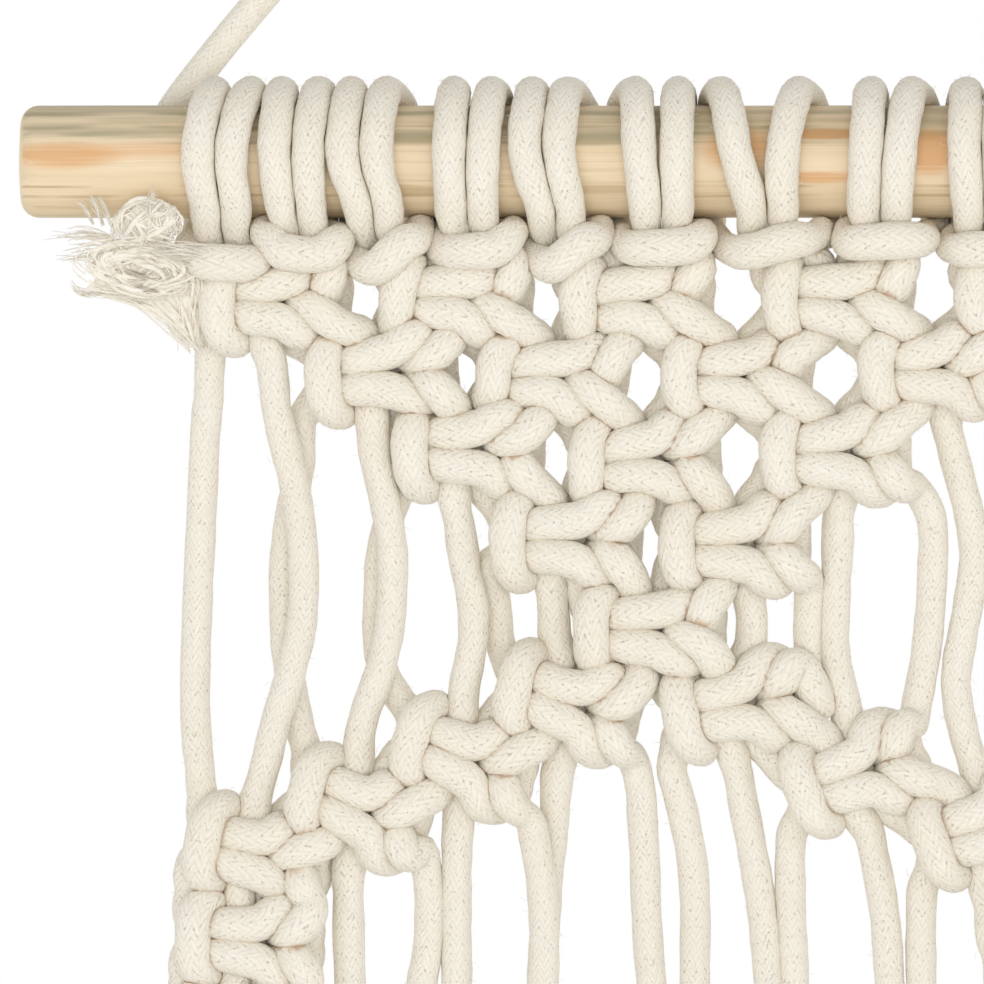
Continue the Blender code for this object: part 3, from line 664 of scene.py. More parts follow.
# Pairs of points closer than reach, found by sorting them into cells of that size.
def nearPairs(points, reach):
    cells = np.floor(points / reach).astype(np.int64)
    cells -= cells.min(axis=0) - 1
    size = cells.max(axis=0) + 2
    key = (cells[:, 0] * size[1] + cells[:, 1]) * size[2] + cells[:, 2]
    order = np.argsort(key, kind="stable")
    ordered = key[order]
    firsts, seconds = [], []
    for dx in (-1, 0, 1):
        for dy in (-1, 0, 1):
            for dz in (-1, 0, 1):
                wanted = key + (dx * size[1] + dy) * size[2] + dz
                start = np.searchsorted(ordered, wanted, "left")
                count = np.searchsorted(ordered, wanted, "right") - start
                first = np.repeat(np.arange(len(points)), count)
                offset = np.arange(count.sum()) - np.repeat(np.cumsum(count) - count, count)
                second = order[np.repeat(start, count) + offset]
                keep = first < second
                firsts.append(first[keep])
                seconds.append(second[keep])
    first, second = np.concatenate(firsts), np.concatenate(seconds)
    close = np.linalg.norm(points[second] - points[first], axis=1) < reach
    return first[close], second[close]


# Cords settle against each other: points that are closer than the contact distance push apart, each
# line pulls itself smooth, everything is held to its place a little, and the dowel keeps them out.
def settleCords(lines):
    step = settle["step"]
    owner, points = joinLines([smoothCurve(line, step) for line in lines])
    home = points.copy()
    inner = (owner == np.roll(owner, 1)) & (owner == np.roll(owner, -1))
    active = points[:, 1] > settle["depth"]
    running = (spreadShare(points) < 0.02) & (points[:, 1] < settle["runs"])
    hold = np.where(running[:, None], settle["freeHold"], settle["hold"])
    skip = int(1.7 * hanging["cord"] / step)
    further, every = settle["look"]
    for turn in range(settle["turns"]):
        if turn % every == 0:
            picked = np.flatnonzero(active)
            first, second = nearPairs(points[picked], settle["contact"] + further)
            first, second = picked[first], picked[second]
            apart = (owner[first] != owner[second]) | (np.abs(first - second) > skip)
            first, second = first[apart], second[apart]
        gap = points[second] - points[first]
        far = np.linalg.norm(gap, axis=1) + tiny
        short = np.maximum(settle["contact"] - far, 0.0)
        push = gap / far[:, None] * (settle["push"] * short)[:, None]
        move = np.stack([np.bincount(second, push[:, axis], len(points))
                         - np.bincount(first, push[:, axis], len(points))
                         for axis in range(3)], axis=1)
        size = np.linalg.norm(move, axis=1, keepdims=True) + tiny
        points += move * np.minimum(1.0, settle["furthest"] / size)
        even = 0.5 * (np.roll(points, 1, axis=0) + np.roll(points, -1, axis=0)) - points
        points += settle["smooth"] * even * (inner & active)[:, None]
        points += hold * (home - points)
        liftOffDowel(points, settle["dowelReach"])
    return [points[owner == index] for index in range(len(lines))]


# Points nearer to the dowel's axis than reach move straight out from it to that distance.
def liftOffDowel(points, reach):
    radial = np.hypot(points[..., 1], points[..., 2]) + tiny
    lift = np.maximum(reach - radial, 0.0) / radial
    points[..., 1] += points[..., 1] * lift
    points[..., 2] += points[..., 2] * lift


tube = dict(
    sides=16,
    radius=2.46,           # a free cord's radius, mm
    knotRadius=2.98,       # the same where it is pressed flat in a knot
    barRadius=3.0,         # and in the bar of a lark's head
    wrapRadius=2.70,       # and where it is wrapped on the dowel
    fine=0.95,             # spacing of sections where cords touch or bend, mm
    coarse=3.2,            # spacing elsewhere, mm
    fringe=2.4,            # how many times wider still in the hanging fringe
    bend=0.035,            # a second difference of the line, mm, from which it counts as bent
    near=1.4,              # touched from this much outside the contact distance, mm
    apart=8,               # and only by points this many steps further along the same cord
    ease=7,                # close sections go on to both sides of such places, in steps
    clearance=-0.22,       # pressed cords sink this far past the plane between them, mm
    wrapClearance=0.05,    # but wraps on the dowel stop this far short of it, mm
    dowelClearance=0.06,   # and all cords this far above the dowel's skin, mm
    wrapped=13.5,          # a cord's line closer to the dowel's axis than this is a wrap, mm
    facing=0.25,           # a ray is limited by a cord that lies within this cosine of it
    dowelFacing=0.2,       # and by the dowel within this one
    least=0.9,             # a pressed cord keeps this much of its radius, mm
    pressedDepth=0.55,     # a skin pressed in this far gets the full painted shade of creases, mm
    swell=(0.4, 1.8),      # the free sides' part of the area lost, and the most of it, square mm
    lumps=(0.022, 0.016),  # how lumpy a cord's skin is, as shares of its radius
)


# Each line read again: close sections where it bends or another cord is near, wide ones elsewhere.
def spaceSections(lines):
    owner, points = joinLines(lines)
    first, second = nearPairs(points, settle["contact"] + tube["near"])
    apart = (owner[first] != owner[second]) | (np.abs(first - second) > tube["apart"])
    touched = np.zeros(len(points))
    touched[first[apart]] = 1.0
    touched[second[apart]] = 1.0
    spaced = []
    for index, line in enumerate(lines):
        bent = np.zeros(len(line))
        bent[1:-1] = np.linalg.norm(line[2:] - 2 * line[1:-1] + line[:-2], axis=1) > tube["bend"]
        deep = line[:, 1] < settle["depth"]
        need = np.maximum(touched[owner == index] * ~deep, bent)
        need = np.convolve(need, np.ones(tube["ease"]), "same") > 0
        wide = np.where(deep, tube["fringe"] * tube["coarse"], tube["coarse"])
        size = np.where(need, tube["fine"], wide)
        along = lengthsAlong(line)
        rate = np.concatenate([[0.0], np.cumsum(np.diff(along) / (0.5 * (size[1:] + size[:-1])))])
        wanted = np.interp(np.linspace(0.0, rate[-1], int(round(rate[-1])) + 1), rate, along)
        slopes = np.gradient(line, along, axis=0)
        spaced.append(cubicAt(line, slopes, along, np.diff(along), wanted))
    return spaced


# Two directions across a line at each of its points, carried along it without twist.
def carriedFrames(line):
    heading = np.gradient(line, axis=0)
    heading /= np.linalg.norm(heading, axis=1, keepdims=True)
    side = np.zeros_like(line)
    start = np.cross(heading[0], (0.0, 0.0, 1.0))
    side[0] = start / np.linalg.norm(start)
    for index in range(1, len(line)):
        carried = side[index - 1] - heading[index] * np.dot(side[index - 1], heading[index])
        side[index] = carried / np.linalg.norm(carried)
    return heading, side, np.cross(heading, side)


# Rays across a line at each point: one direction's cosine and the other's sine, evenly turned.
def raysRound(side, other, sides):
    angles = (2 * np.pi * np.arange(sides) / sides)[:, None]
    return side[..., None, :] * np.cos(angles) + other[..., None, :] * np.sin(angles)


# A value's place between two others, from 0 to 1, as a straight ramp.
def between(value, low, high):
    return np.clip((value - low) / (high - low), 0.0, 1.0)


# How far a point is inside a knot: 1 in an oval about its middle, 0 from about half as far again.
def spreadShare(points):
    middles = np.array([(knot["x"], knot["z"]) for knot in allKnots()])
    oval = (12.5, 7.0)
    gap = (points[:, None, [0, 1]] - middles[None]) / oval
    near = np.sqrt((gap**2).sum(axis=2).min(axis=1))
    return np.clip((1.45 - near) / 0.45, 0.0, 1.0)


# A cord's radius at each point: it spreads where it is tied, in knots, in bars and on the dowel.
def spreadRadii(points):
    radius = tube["radius"]
    bar = between(points[:, 2], 7.0, 9.0) * between(points[:, 1], -9.5, -11.5)
    wrap = between(points[:, 1], -11.0, -8.0)
    free = radius + spreadShare(points) * (tube["knotRadius"] - radius)
    free = np.maximum(free, radius + wrap * (tube["wrapRadius"] - radius))
    return np.maximum(free, radius + bar * (tube["barRadius"] - radius))


# How far each ray may reach before it passes the plane half way to a neighbouring cord's line: that
# distance over the cosine between the ray and the way to the neighbour.
def neighbourLimits(owner, points, along, rays):
    first, second = nearPairs(points, 2 * tube["knotRadius"] + 0.2)
    apart = ((owner[first] != owner[second])
             | (np.abs(along[first] - along[second]) > 1.5 * hanging["cord"]))
    first, second = first[apart], second[apart]
    here, there = np.concatenate([first, second]), np.concatenate([second, first])
    gap = points[there] - points[here]
    far = np.linalg.norm(gap, axis=1)
    unit = gap / far[:, None]
    wrapped = onDowel(points)
    clear = np.where(wrapped[here] & wrapped[there], tube["wrapClearance"], tube["clearance"])
    half = np.maximum(0.5 * far - clear, tube["least"])
    limits = np.full(rays.shape[:2], noLimit)
    least = tube["facing"]
    for turn in range(rays.shape[1]):
        facing = np.einsum("ij,ij->i", rays[here, turn], unit)
        limit = np.where(facing > least, half / np.maximum(facing, least), noLimit)
        np.minimum.at(limits[:, turn], here, limit)
    return limits


# The same for the dowel's skin.
def dowelLimits(points, rays):
    reach = np.hypot(points[:, 1], points[:, 2])
    outward = points[:, 1:] / (reach[:, None] + tiny)
    toDowel = -(rays[:, :, 1] * outward[:, None, 0] + rays[:, :, 2] * outward[:, None, 1])
    room = np.maximum(reach - hanging["dowelSize"] / 2 - tube["dowelClearance"], 1.0)
    least = tube["dowelFacing"]
    return np.where(toDowel > least, room[:, None] / np.maximum(toDowel, least), noLimit)


# Which points belong to a wrap: those closer to the dowel's axis than a wrap's reach.
def onDowel(points):
    return np.hypot(points[:, 1], points[:, 2]) < tube["wrapped"]


# Radii smoothed round sections and along cords: half the value and a quarter of both neighbours.
def smoothRadii(radii, owner):
    same = (owner[1:] == owner[:-1])[:, None]
    radii = 0.5 * radii + 0.25 * (np.roll(radii, 1, axis=1) + np.roll(radii, -1, axis=1))
    ahead = np.vstack([np.where(same, radii[1:], radii[:-1]), radii[-1:]])
    behind = np.vstack([radii[:1], np.where(same, radii[:-1], radii[1:])])
    return 0.5 * radii + 0.25 * (ahead + behind)


# How far each cord's skin stands from its line: the free radius, cut where it would pass a
# neighbour's plane or the dowel. A cut section swells at its free sides by part of the area that it
# lost. Low waves make it lumpy. Also how deep the skin is pressed at each point, from 0 to 1, which
# the cords' material paints as shade of creases.
def pressedRadii(lines, frames):
    owner, points = joinLines(lines)
    along = np.concatenate([lengthsAlong(line) for line in lines])
    side, other = (np.concatenate([frameSet[kind] for frameSet in frames]) for kind in (1, 2))
    rays = raysRound(side, other, tube["sides"])
    whole = spreadRadii(points)[:, None]
    limits = np.minimum(neighbourLimits(owner, points, along, rays), dowelLimits(points, rays))
    limits = np.minimum(np.repeat(whole, tube["sides"], axis=1), limits)
    free = limits > whole - 0.02
    lost = np.sum(whole**2 - limits**2, axis=1) / np.maximum(np.sum(free, axis=1), 5)
    part, most = tube["swell"]
    swell = np.sqrt(whole[:, 0]**2 + np.clip(part * lost, 0.0, most)) - whole[:, 0]
    press = np.clip((whole - limits) / tube["pressedDepth"], 0.0, 1.0) * ~onDowel(points)[:, None]
    radii = limits + swell[:, None] * free
    for _ in range(2):
        radii = smoothRadii(radii, owner)
    radii = np.where(free, radii, np.minimum(radii, limits))
    spin = rng.uniform(0.0, 2 * np.pi, (2, len(lines)))[:, owner, None]
    turn = (2 * np.pi * np.arange(tube["sides"]) / tube["sides"])[None, :]
    wide, fine = tube["lumps"]
    radii *= (1.0 + wide * np.sin(0.62 * along[:, None] + 2 * turn + spin[0])
              + fine * np.sin(1.37 * along[:, None] - 3 * turn + spin[1]))
    return ([radii[owner == index] for index in range(len(lines))],
            [press[owner == index] for index in range(len(lines))])


# A finished mesh as a piece: smooth, in its material, riding the root body.
def addPiece(name, mesh, material):
    mesh.polygons.foreach_set("use_smooth", np.ones(len(mesh.polygons), dtype=bool))
    mesh.materials.append(material)
    item = bpy.data.objects.new(name, mesh)
    bpy.context.scene.collection.objects.link(item)
    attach(item, "root")
    return item


# A mesh from its points in mm, its faces' sizes and all their corners in turn.
def meshFrom(name, points, sizes, corners):
    mesh = bpy.data.meshes.new(name)
    mesh.vertices.add(len(points))
    mesh.vertices.foreach_set("co", toWorld(points).astype(np.float32).ravel())
    mesh.loops.add(len(corners))
    mesh.loops.foreach_set("vertex_index", corners.astype(np.int32))
    mesh.polygons.add(len(sizes))
    starts = np.concatenate([[0], np.cumsum(sizes)[:-1]])
    mesh.polygons.foreach_set("loop_start", starts.astype(np.int32))
    mesh.update(calc_edges=True)
    return mesh


# Faces from each ring of points to the next, by their corners; base is the rings' first points.
def ringQuads(base, sides):
    turn = np.arange(sides)
    after = (turn + 1) % sides
    return np.stack([base + turn, base + sides + turn, base + sides + after, base + after], axis=-1)


# A closed grid as a mesh: quads between its rows of points, and triangles from the first and the
# last row to the two poles that follow them.
def gridMesh(name, rows, poles):
    count, sides = rows.shape[:2]
    points = np.concatenate([rows.reshape(-1, 3), poles])
    ring = np.arange(count - 1)[:, None] * sides
    turn = np.arange(sides)
    after = (turn + 1) % sides
    quads = ringQuads(ring, sides)
    top = (count - 1) * sides
    low = np.stack([np.full(sides, count * sides), turn, after], axis=1)
    high = np.stack([np.full(sides, count * sides + 1), top + after, top + turn], axis=1)
    sizes = np.concatenate([np.full(quads.size // 4, 4), np.full(2 * sides, 3)])
    corners = np.concatenate([quads.ravel(), low.ravel(), high.ravel()])
    return meshFrom(name, points, sizes, corners)


# A tube: sections of given radii along a line, closed by a rounded end of two smaller sections and
# a middle point. Its map runs once round it and along it in cm; press: how deep it is pressed,
# which its material paints as shade of creases.
def addTube(name, line, frameSet, radii, material, press=None):
    heading, side, other = frameSet
    sides = radii.shape[1]
    ray = raysRound(side, other, sides)
    rings = line[:, None, :] + ray * radii[:, :, None]
    caps = []
    for end, way in ((0, -1.0), (-1, 1.0)):
        for shrink, reach in ((0.82, 0.35), (0.45, 0.6)):
            spot = line[end] + heading[end] * way * reach
            caps.append(spot + ray[end] * (radii[end] * shrink)[:, None])
    rings = np.concatenate([[caps[1]], [caps[0]], rings, [caps[2]], [caps[3]]])
    poles = np.array([line[0] - heading[0] * 0.66, line[-1] + heading[-1] * 0.66])
    mesh = gridMesh(name, rings, poles)
    along = lengthsAlong(rings.mean(axis=1)) / 10
    row, turn = np.mgrid[0:len(rings) - 1, 0:sides]
    mapQuads = np.stack([np.stack([turn, turn, turn + 1, turn + 1], axis=-1) / sides,
                         along[np.stack([row, row + 1, row + 1, row], axis=-1)]], axis=-1)
    spin = np.arange(sides)
    capRound = np.tile(np.stack([spin, spin, spin + 1], axis=1) / sides, (2, 1)).ravel()
    mapCaps = np.stack([capRound, np.repeat([along[0], along[-1]], 3 * sides)], axis=-1)
    layer = mesh.uv_layers.new(name="cordMap")
    places = np.concatenate([mapQuads.ravel(), mapCaps.ravel()])
    layer.uv.foreach_set("vector", places.astype(np.float32))
    if press is not None:
        edge = np.zeros(2 * sides)
        values = np.concatenate([edge, press.ravel(), edge, [0, 0]])
        layer = mesh.attributes.new("press", "FLOAT", "POINT")
        layer.data.foreach_set("value", values.astype(np.float32))
    mesh.validate()
    return addPiece(name, mesh, material)


# The twenty cords: settled, spaced, pressed and made tubes. They replace the net and its heads.
def makeCords(material):
    lines = settleCords(allCords())
    total = sum(np.linalg.norm(np.diff(line, axis=0), axis=1).sum() for line in lines) * mm
    print("cords settled:", len(lines), "total", round(total, 2), "m")
    lines = spaceSections(lines)
    frames = [carriedFrames(line) for line in lines]
    radii, press = pressedRadii(lines, frames)
    faces = 0
    for index, line in enumerate(lines):
        item = addTube(f"cord_{index + 1:02d}", line, frames[index], radii[index], material,
                       press[index])
        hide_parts("macrame", f"larks_head_{index + 1:02d}")
        faces += 2 * len(item.data.polygons)
    print("cord faces:", faces)
    return lines, frames, radii


fuzz = dict(
    hairs=10000,             # on the cords above the fringe
    fringeHairs=2400,
    length=(0.6, 1.9),       # mm
    radius=(0.032, 0.055),
    rooted=0.12,             # how deep a hair starts under the skin
)


# Short hairs on the cords: each starts on the skin, leans along the cord and curls, in 3 points.
def makeFuzz(lines, frames, radii, material):
    spots, outs, alongs = [], [], []
    for line, (heading, side, other), radius in zip(lines, frames, radii):
        upper = np.flatnonzero(line[:, 1] > settle["depth"])
        lower = np.flatnonzero(line[:, 1] <= settle["depth"])
        picks = np.concatenate([rng.choice(upper, fuzz["hairs"] // len(lines)),
                                rng.choice(lower, fuzz["fringeHairs"] // len(lines))])
        picks = np.minimum(picks, len(line) - 2)
        share = rng.uniform(0.0, 1.0, (len(picks), 1))
        turn = rng.integers(0, radius.shape[1], len(picks))
        angle = (2 * np.pi * turn / radius.shape[1])[:, None]
        out = side[picks] * np.cos(angle) + other[picks] * np.sin(angle)
        spot = line[picks] * (1 - share) + line[picks + 1] * share
        spots.append(spot + out * (radius[picks, turn][:, None] - fuzz["rooted"]))
        outs.append(out)
        alongs.append(heading[picks])
    spot, out, along = np.concatenate(spots), np.concatenate(outs), np.concatenate(alongs)
    count = len(spot)
    lean = (along * rng.uniform(-1.2, 1.2, (count, 1))
            + np.cross(along, out) * rng.uniform(-0.8, 0.8, (count, 1)))
    length = rng.uniform(*fuzz["length"], (count, 1))
    middle = spot + (out * 0.75 + lean * 0.35) * length * 0.5
    end = middle + (out * 0.35 + lean * 0.8 + rng.normal(0.0, 0.25, (count, 3))) * length * 0.5
    addFibres("cord_fuzz", np.stack([spot, middle, end], axis=1),
              rng.uniform(*fuzz["radius"], count), material)
    print("fuzz hairs:", count)


hanger = dict(
    step=1.6,              # spacing of its sections, mm
    sides=20,
    # its left half, mm
    route=[(-157.2, 0.5, -11.9), (-154.8, 5.0, -11.8), (-152.0, 9.4, -11.2), (-146.6, 16.4, -10.4),
           (-138.8, 25.8, -9.6), (-120.0, 46.3, -9.0), (-100.0, 67.6, -9.0), (-80.0, 88.3, -9.0),
           (-60.0, 108.3, -9.0), (-40.0, 127.6, -9.0), (-24.0, 142.3, -9.0), (-12.0, 152.0, -9.0),
           (-5.0, 156.4, -9.0), (0.0, 157.5, -9.0)],
)


# The hanging cord: a round tube on a smooth curve through its left half and that half mirrored.
def makeHanger(material):
    left = np.array(hanger["route"])
    right = left[:-1][::-1] * (-1, 1, 1)
    line = smoothCurve(np.concatenate([left, right]), hanger["step"])
    radii = np.full((len(line), hanger["sides"]), hanging["cord"] / 2)
    item = addTube("hanger", line, carriedFrames(line), radii, material)
    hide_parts("hanging_cord")
    tuple(toWorld(line[0]))
    toWorld(line[::2]).tolist()


# Fibres as tapered tubes of a few sides in one mesh; lines are fibres by points by axes. A radius
# falls to under half at both ends, by the third power of the distance from the fibre's middle.
def addFibres(name, lines, radii, material, sides=3):
    heading = np.gradient(lines, axis=1)
    heading /= np.linalg.norm(heading, axis=2, keepdims=True) + tiny
    side = np.cross(heading, (0.31, 0.53, 0.79))
    side /= np.linalg.norm(side, axis=2, keepdims=True) + tiny
    fibres, steps = lines.shape[:2]
    taper = 1.0 - 0.55 * np.abs(2 * np.linspace(0.0, 1.0, steps) - 1) ** 3
    size = radii[:, None, None, None] * taper[None, :, None, None]
    ring = raysRound(side, np.cross(heading, side), sides)
    points = (lines[:, :, None, :] + ring * size).reshape(-1, 3)
    base = (np.arange(fibres)[:, None, None] * steps + np.arange(steps - 1)[None, :, None]) * sides
    quads = ringQuads(base, sides)
    first = np.arange(fibres)[:, None] * steps * sides + np.arange(sides)
    last = (first + (steps - 1) * sides)[:, ::-1]
    sizes = np.concatenate([np.full(quads.size // 4, 4), np.full(2 * fibres, sides)])
    corners = np.concatenate([quads.ravel(), first.ravel(), last.ravel()])
    return addPiece(name, meshFrom(name, points, sizes, corners), material)


frayed = dict(
    # counts are of yarns and of hairs
    knob=(-155.8, -9.9, 9.8), knobSize=(5.3, 3.6, 3.2), wound=(90, 70),
    eye=(-157.0, -17.4, 9.2), lensSize=(8.4, 4.6), lens=(110, 110),
    tip=(-148.3, -29.3, 4.4), skirt=(150, 130),
    points=9,              # points of each fibre
    dowelReach=9.35,       # fibres stay this far from the dowel's axis, mm
    yarn=(0.14, 0.36),     # a yarn's least radius and what it may have on top, mm
    hair=(0.05, 0.12),
)

# Wisps: where each starts and ends, how much it bows up, how many fibres and how far they spread.
wisps = [
    ((-159.5, -13.4, 9.4), (-171.4, -12.4, 9.0), 0.9, 16, 0.5),
    ((-160.0, -13.9, 9.4), (-169.6, -15.2, 8.6), 0.3, 9, 0.4),
    ((-161.0, -13.2, 9.4), (-168.5, -12.0, 9.4), 1.2, 8, 0.4),
    ((-161.5, -14.5, 9.2), (-171.6, -15.6, 8.4), -0.6, 6, 0.3),
    ((-163.2, -20.2, 8.4), (-168.6, -19.2, 8.0), -1.7, 16, 0.25),
    ((-161.0, -20.6, 8.4), (-165.4, -20.7, 8.2), -0.7, 12, 0.3),
    ((-161.6, -10.6, 9.0), (-163.9, -5.8, 9.0), 0.7, 16, 0.2),
    ((-163.0, -10.4, 8.6), (-165.4, -5.9, 8.9), 0.8, 16, 0.18),
    ((-164.6, -10.2, 8.2), (-167.2, -6.6, 8.6), 0.7, 14, 0.16),
    ((-158.4, -12.0, 12.4), (-151.2, -8.0, 12.8), 0.5, 6, 0.3),
    ((-157.6, -15.4, 12.4), (-155.0, -8.6, 13.2), 0.2, 5, 0.2),
    ((-154.0, -14.6, 11.4), (-141.8, -16.8, 11.2), 0.5, 40, 0.9),
    ((-156.2, -7.4, 11.0), (-154.6, -4.9, 10.8), 0.1, 12, 0.3),
    ((-160.6, -9.6, 9.6), (-161.6, -13.6, 9.4), 0.0, 22, 0.5),
]


# Shares from 0 to 1 of a fibre's points.
def fibreShares():
    return np.linspace(0.0, 1.0, frayed["points"])


# A slow random bend for each fibre, so that none keeps to its family's curve: two sine waves.
def fibreBend(count, size):
    share = fibreShares()[None, :, None]
    first = rng.uniform(0.0, 2 * np.pi, (count, 1, 3))
    second = rng.uniform(0.0, 2 * np.pi, (count, 1, 3))
    return (np.sin(share * 4.2 + first) * rng.normal(0.0, size, (count, 1, 3))
            + np.sin(share * 9.5 + second) * rng.normal(0.0, size * 0.35, (count, 1, 3)))


# Each fibre's angles: from a random start on by a random part of a turn.
def fibreTurns(count, least, most):
    start = rng.uniform(0.0, 2 * np.pi, count)
    return start[:, None] + fibreShares()[None] * rng.uniform(least, most, count)[:, None]


# Fibres wound round the knob: rings of an oval ball about random axes, each a part of a full turn.
def woundFibres(count):
    axis = rng.normal(0.0, 1.0, (count, 3)) * (1.0, 0.5, 0.6)
    axis /= np.linalg.norm(axis, axis=1, keepdims=True)
    first = np.cross(axis, (0.2, 0.3, 0.9))
    first /= np.linalg.norm(first, axis=1, keepdims=True)
    second = np.cross(axis, first)
    turn = fibreTurns(count, 0.9, 2.4)
    lift = rng.uniform(-0.6, 0.6, count)
    ring = np.sqrt(1.0 - lift**2)
    ball = ((first[:, None] * np.cos(turn)[..., None] + second[:, None] * np.sin(turn)[..., None])
            * ring[:, None, None] + (axis * lift[:, None])[:, None])
    size = rng.uniform(0.93, 1.04, count)[:, None, None]
    return (np.array(frayed["knob"]) + ball * np.array(frayed["knobSize"]) * size
            + fibreBend(count, 0.22))


# Fibres of the swirl: arcs of nested ovals round the eye, tilted and drawn out at both sides.
def lensFibres(count):
    share = rng.uniform(0.2, 1.0, count) ** 0.8
    turn = fibreTurns(count, 0.8, 2.2)
    wide, tall = frayed["lensSize"]
    x = np.cos(turn) * wide * share[:, None] * (1.0 + 0.25 * share[:, None] * np.cos(turn) ** 4)
    tilt = -0.12 + rng.normal(0.0, 0.16, count)[:, None]
    z = (np.sin(turn) * tall * share[:, None] ** 1.15 + tilt * x
         + rng.normal(0.0, 0.4, count)[:, None])
    forward = (1.2 * np.sin(np.pi * share) ** 0.8)[:, None] + rng.normal(0.0, 0.22, count)[:, None]
    eye = frayed["eye"]
    line = np.stack([eye[0] + x, eye[1] + z, eye[2] + forward + 0 * turn], axis=2)
    return line + fibreBend(count, 0.42)


# Fibres of the skirt: from along the swirl's underside they bend down and draw together at the tip,
# each a part of a curve of the second degree.
def skirtFibres(count):
    start = rng.uniform(0.0, 1.0, count)
    top = np.stack([-165.0 + 18.6 * start, -20.6 + 5.4 * start + rng.normal(0.0, 0.8, count),
                    8.9 + rng.normal(0.0, 0.5, count)], axis=1)
    tip = np.array(frayed["tip"]) + rng.normal(0.0, 1.0, (count, 3)) * (1.0, 0.9, 0.6)
    bend = np.stack([0.5 * (top[:, 0] + tip[:, 0]) + 0.8 * start,
                     top[:, 1] + (tip[:, 1] - top[:, 1]) * (0.12 + 0.45 * start),
                     0.45 * top[:, 2] + 0.55 * tip[:, 2] + 2.2], axis=1)
    low = rng.uniform(0.0, 0.6, count)
    high = np.minimum(1.0, low + rng.uniform(0.35, 0.8, count))
    t = (low[:, None] + (high - low)[:, None] * fibreShares()[None])[:, :, None]
    line = (1 - t)**2 * top[:, None] + 2 * t * (1 - t) * bend[:, None] + t**2 * tip[:, None]
    return line + fibreBend(count, 0.3)


# A wisp's fibres: parabolas between spread ends.
def wispFibres(start, end, bow, count, spread):
    start = np.array(start) + rng.normal(0.0, spread, (count, 3))
    end = np.array(end) + rng.normal(0.0, spread * 1.4, (count, 3))
    t = fibreShares()[None, :, None] * rng.uniform(0.6, 1.0, count)[:, None, None]
    line = start[:, None] * (1 - t) + end[:, None] * t
    line[:, :, 1] += (4 * t * (1 - t))[:, :, 0] * (bow + rng.normal(0.0, 0.25, count))[:, None]
    return line + fibreBend(count, 0.1)


# The packed fibre under the loose ones: an oval ball for the knob, with low waves.
def knobRows():
    polar = np.linspace(0.0, np.pi, 14)[1:-1, None]
    turn = 2 * np.pi * np.arange(22)[None] / 22
    unit = np.stack([np.sin(polar) * np.cos(turn), np.cos(polar) + 0 * turn,
                     np.sin(polar) * np.sin(turn)], axis=-1)
    lumps = 1.0 + 0.05 * np.sin(3 * turn + 2 * polar) + 0.04 * np.sin(5 * turn - 3 * polar)
    middle, size = np.array(frayed["knob"]), np.array(frayed["knobSize"]) * 0.86
    pole = size * (0, 1, 0)
    return middle + unit * size * lumps[..., None], middle + pole, middle - pole


# The packed fibre of swirl and skirt: ovals along a line from the left, by the swirl, to the tip.
def skirtRows():
    # middle across, up, forward; half width across the run, half depth; the run's turn in degrees
    spine = np.array([(-165.2, -20.2, 8.6, 0.8, 0.5, 60), (-162.4, -18.6, 8.6, 2.6, 0.9, 70),
                      (-158.6, -17.8, 8.7, 4.3, 1.1, 74), (-154.4, -17.9, 8.6, 4.9, 1.1, 66),
                      (-151.6, -19.2, 8.2, 4.7, 1.1, 44), (-150.0, -21.6, 7.4, 3.8, 1.1, 24),
                      (-149.0, -24.6, 6.3, 2.7, 1.1, 12), (-148.6, -27.2, 5.2, 1.8, 1.0, 6),
                      (-148.4, -29.2, 4.4, 1.1, 0.8, 4)])
    turn = 2 * np.pi * np.arange(20)[None] / 20
    angle = np.radians(spine[:, 5])[:, None]
    wide = spine[:, 3, None] * np.cos(turn)
    rows = np.stack([spine[:, 0, None] + wide * np.cos(angle),
                     spine[:, 1, None] + wide * np.sin(angle),
                     spine[:, 2, None] + spine[:, 4, None] * np.sin(turn)], axis=-1)
    return rows, spine[0, :3] - (0.5, 0.2, 0.0), spine[-1, :3] - (0.0, 0.5, 0.0)


# The hanging cord's frayed ends: yarns, hairs and wisps over packed fibre, and their mirror image.
def makeTails(material):
    yarns, hairs = (np.concatenate([woundFibres(frayed["wound"][kind]),
                                    lensFibres(frayed["lens"][kind]),
                                    skirtFibres(frayed["skirt"][kind])]) for kind in (0, 1))
    hairs = np.concatenate([hairs] + [wispFibres(*wisp) for wisp in wisps])
    for lines in (yarns, hairs):
        liftOffDowel(lines, frayed["dowelReach"])
    least, more = frayed["yarn"]
    yarnRadii = least + more * rng.uniform(0.0, 1.0, len(yarns)) ** 2
    hairRadii = rng.uniform(*frayed["hair"], len(hairs))
    for side, name in ((1, "left"), (-1, "right")):
        mirror = (side, 1, 1)
        item = addFibres("tail_" + name, yarns * mirror, yarnRadii, material, 6)
        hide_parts("frayed_tail_" + name)
        addFibres("tail_hair_" + name, hairs * mirror, hairRadii, material)
        for part, (rows, first, last) in (("knob", knobRows()), ("skirt", skirtRows())):
            label = f"tail_{part}_{name}"
            mesh = gridMesh(label, rows[:, ::side] * mirror, [first * mirror, last * mirror])
            addPiece(label, mesh, material)
    print("frayed yarns and hairs:", len(yarns), len(hairs))


rod = dict(
    half=176.5,            # half its length, mm
    edge=3.0,              # how far its ends are rounded
    crown=0.25,            # how far the middle of an end face stands out
    uneven=0.03,           # how much its side rises and falls
    sides=96, sections=90,
)


